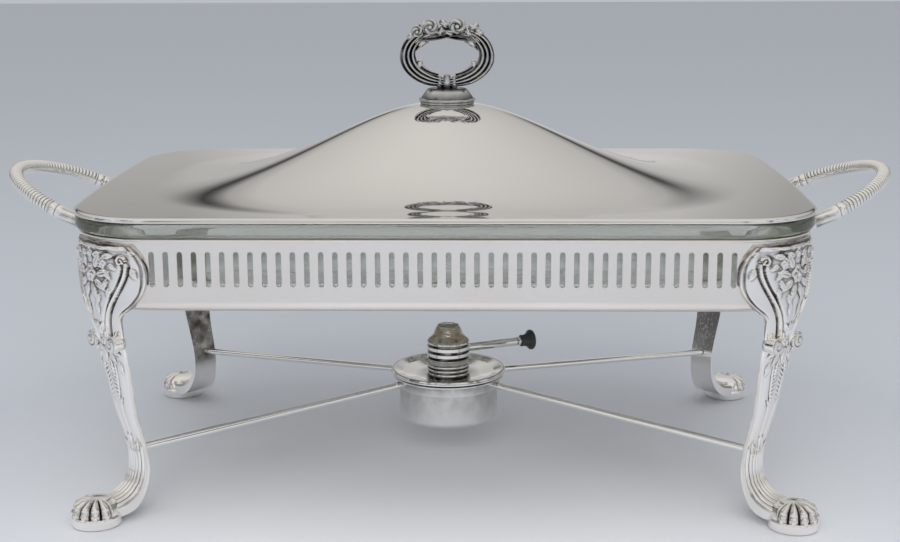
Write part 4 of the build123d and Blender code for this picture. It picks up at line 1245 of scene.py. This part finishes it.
def makeFloor():
    size = floorPaper["size"]
    mesh = bpy.data.meshes.new("floor")
    corners = [(-size, -size, 0), (size, -size, 0), (size, size, 0), (-size, size, 0)]
    mesh.from_pydata(corners, [], [(0, 1, 2, 3)])
    material, tree, shader, place = newMaterial("floorPaper")
    shader.inputs["Roughness"].default_value = 0.9
    shader.inputs["Specular IOR Level"].default_value = 0.1
    # a painted pool of light, palest under and before the dish, and a little darker all round
    distance = tree.nodes.new("ShaderNodeVectorMath")
    distance.operation = "DISTANCE"
    distance.inputs[1].default_value = floorPaper["litPoolAt"]
    tree.links.new(place, distance.inputs[0])
    away = rangeNode(tree, distance.outputs["Value"], 0.1, 0.36, 0, 1)
    tree.links.new(mixNode(tree, away, floorPaper["pool"], floorPaper["rest"]), shader.inputs["Base Color"])
    mesh.materials.append(material)
    floor = bpy.data.objects.new("floor", mesh)
    bpy.context.scene.collection.objects.link(floor)


# brightness of the room behind the object at each height of the direction: beside the middle,
# where a dark gap gives the line at the dome's foot, and at the middle
studio = {
    "beside": [
        (0.12, 0.46), (0.18, 0.36), (0.21, 0.22), (0.25, 0.04), (0.272, 0.10), (0.32, 0.38), (0.42, 0.53),
        (1.0, 0.70),
    ],
    "middle": [(0.13, 0.62), (0.20, 0.50), (0.36, 0.51), (1.0, 0.69)],
    "tint": (1.02, 1.0, 0.97), "rightTint": (0.93, 0.915, 0.895), "front": (0.70, 0.695, 0.68),
    "dark": (0.07, 0.07, 0.075), "fill": (0.80, 0.815, 0.85),
    "backMiddle": (0.39, 0.405, 0.44), "backSides": (0.365, 0.385, 0.43), "horizon": (0.50, 0.525, 0.56),
}


def makeWorld():
    # the direction's height and depth choose between rear wall, dark gap, overhead cloth and front
    world = bpy.data.worlds.new("studio")
    bpy.context.scene.world = world
    world.use_nodes = True
    tree = world.node_tree
    background = tree.nodes["Background"]
    direction = tree.nodes.new("ShaderNodeTexCoord").outputs["Generated"]
    split = tree.nodes.new("ShaderNodeSeparateXYZ")
    tree.links.new(direction, split.inputs["Vector"])
    across, depth, height = split.outputs["X"], split.outputs["Y"], split.outputs["Z"]

    def ramp(stops):
        node = tree.nodes.new("ShaderNodeValToRGB")
        node.color_ramp.interpolation = "LINEAR"
        for number, (at, level) in enumerate(stops):
            stop = node.color_ramp.elements[number] if number < 2 else node.color_ramp.elements.new(at)
            stop.position = at
            stop.color = (level, level, level, 1)
        tree.links.new(height, node.inputs["Fac"])
        return node.outputs["Color"]

    side = mathNode(tree, "ABSOLUTE", across)
    beside = rangeNode(tree, side, 0.12, 0.2, 0, 1)
    rearLevel = mixNode(tree, beside, ramp(studio["middle"]), ramp(studio["beside"]))
    tint = mixNode(tree, rangeNode(tree, across, -0.1, 0.35, 0, 1), studio["tint"], studio["rightTint"])
    rearWall = mixNode(tree, 1.0, rearLevel, tint, "MULTIPLY")
    streaks = noiseNode(tree, 3.2, 2, stretched(tree, direction, (1.6, 1.6, 0.7)), 0.5, 0.3)
    lowDown = rangeNode(tree, height, 0.75, 0.55, 0, 1)
    props = mathNode(tree, "MULTIPLY", rangeNode(tree, streaks, 0.52, 0.57, 0, 1), lowDown, True)
    front = mixNode(tree, props, studio["front"], studio["dark"])
    room = mixNode(tree, rangeNode(tree, depth, -0.12, 0.02, 0, 1), front, rearWall)
    high = mixNode(tree, rangeNode(tree, side, 0.05, 0.28, 0, 1), studio["backMiddle"], studio["backSides"])
    seen = mixNode(tree, rangeNode(tree, height, -0.05, 0.06, 0, 1), studio["horizon"], high)
    path = tree.nodes.new("ShaderNodeLightPath")
    lookedAt = mathNode(tree, "ADD", path.outputs["Is Camera Ray"], path.outputs["Is Transmission Ray"], True)
    diffuse = mixNode(tree, path.outputs["Is Diffuse Ray"], room, studio["fill"])
    tree.links.new(mixNode(tree, lookedAt, diffuse, seen), background.inputs["Color"])
    background.inputs["Strength"].default_value = 1.0


def addSoftbox(name, place, target, size, power, colour=(1, 1, 1)):
    light = bpy.data.lights.new(name, "AREA")
    light.shape = "RECTANGLE"
    light.size, light.size_y = size
    light.energy = power
    light.color = colour
    box = bpy.data.objects.new(name, light)
    box.location = place
    box.rotation_euler = (Vector(target) - Vector(place)).to_track_quat("-Z", "Y").to_euler()
    bpy.context.scene.collection.objects.link(box)
    box.visible_glossy = False


makeFloor()
makeWorld()
addSoftbox("overheadCloth", (0.0, -0.6, 1.5), (0, -0.15, 0), (2.2, 1.4), 9, (1, 0.99, 0.975))
addSoftbox("frontCloth", (0.0, -2.0, 1.1), (0, -0.2, 0.0), (1.4, 1.0), 17)

view = {
    "place": (0.023195, -0.85482, 0.305919), "pitch": 0.223, "yaw": -0.025, "roll": -0.004,
    "focal": 1489.62, "centre": (451.0, 271.0), "size": (900.0, 542.0),
}


def makeCamera():
    camera = bpy.data.cameras.new("camera")
    camera.sensor_width = 36.0
    camera.lens = view["focal"] / view["size"][0] * 36.0
    camera.shift_x = (view["size"][0] / 2 - view["centre"][0]) / view["size"][0]
    camera.shift_y = (view["centre"][1] - view["size"][1] / 2) / view["size"][0]
    pitch, yaw, roll = view["pitch"], view["yaw"], view["roll"]
    forward = Vector((math.sin(yaw) * math.cos(pitch), math.cos(yaw) * math.cos(pitch), -math.sin(pitch)))
    right = Vector((math.cos(yaw), -math.sin(yaw), 0))
    upward = right.cross(forward)
    sideways = math.cos(roll) * right + math.sin(roll) * upward
    upward = -math.sin(roll) * right + math.cos(roll) * upward
    turn = Matrix((sideways, upward, -forward)).transposed().to_4x4()
    body = bpy.data.objects.new("camera", camera)
    bpy.context.scene.collection.objects.link(body)
    body.matrix_world = Matrix.Translation(view["place"]) @ turn
    bpy.context.scene.camera = body


makeCamera()
bpy.context.scene.view_settings.view_transform = "Standard"
print("room and camera set")
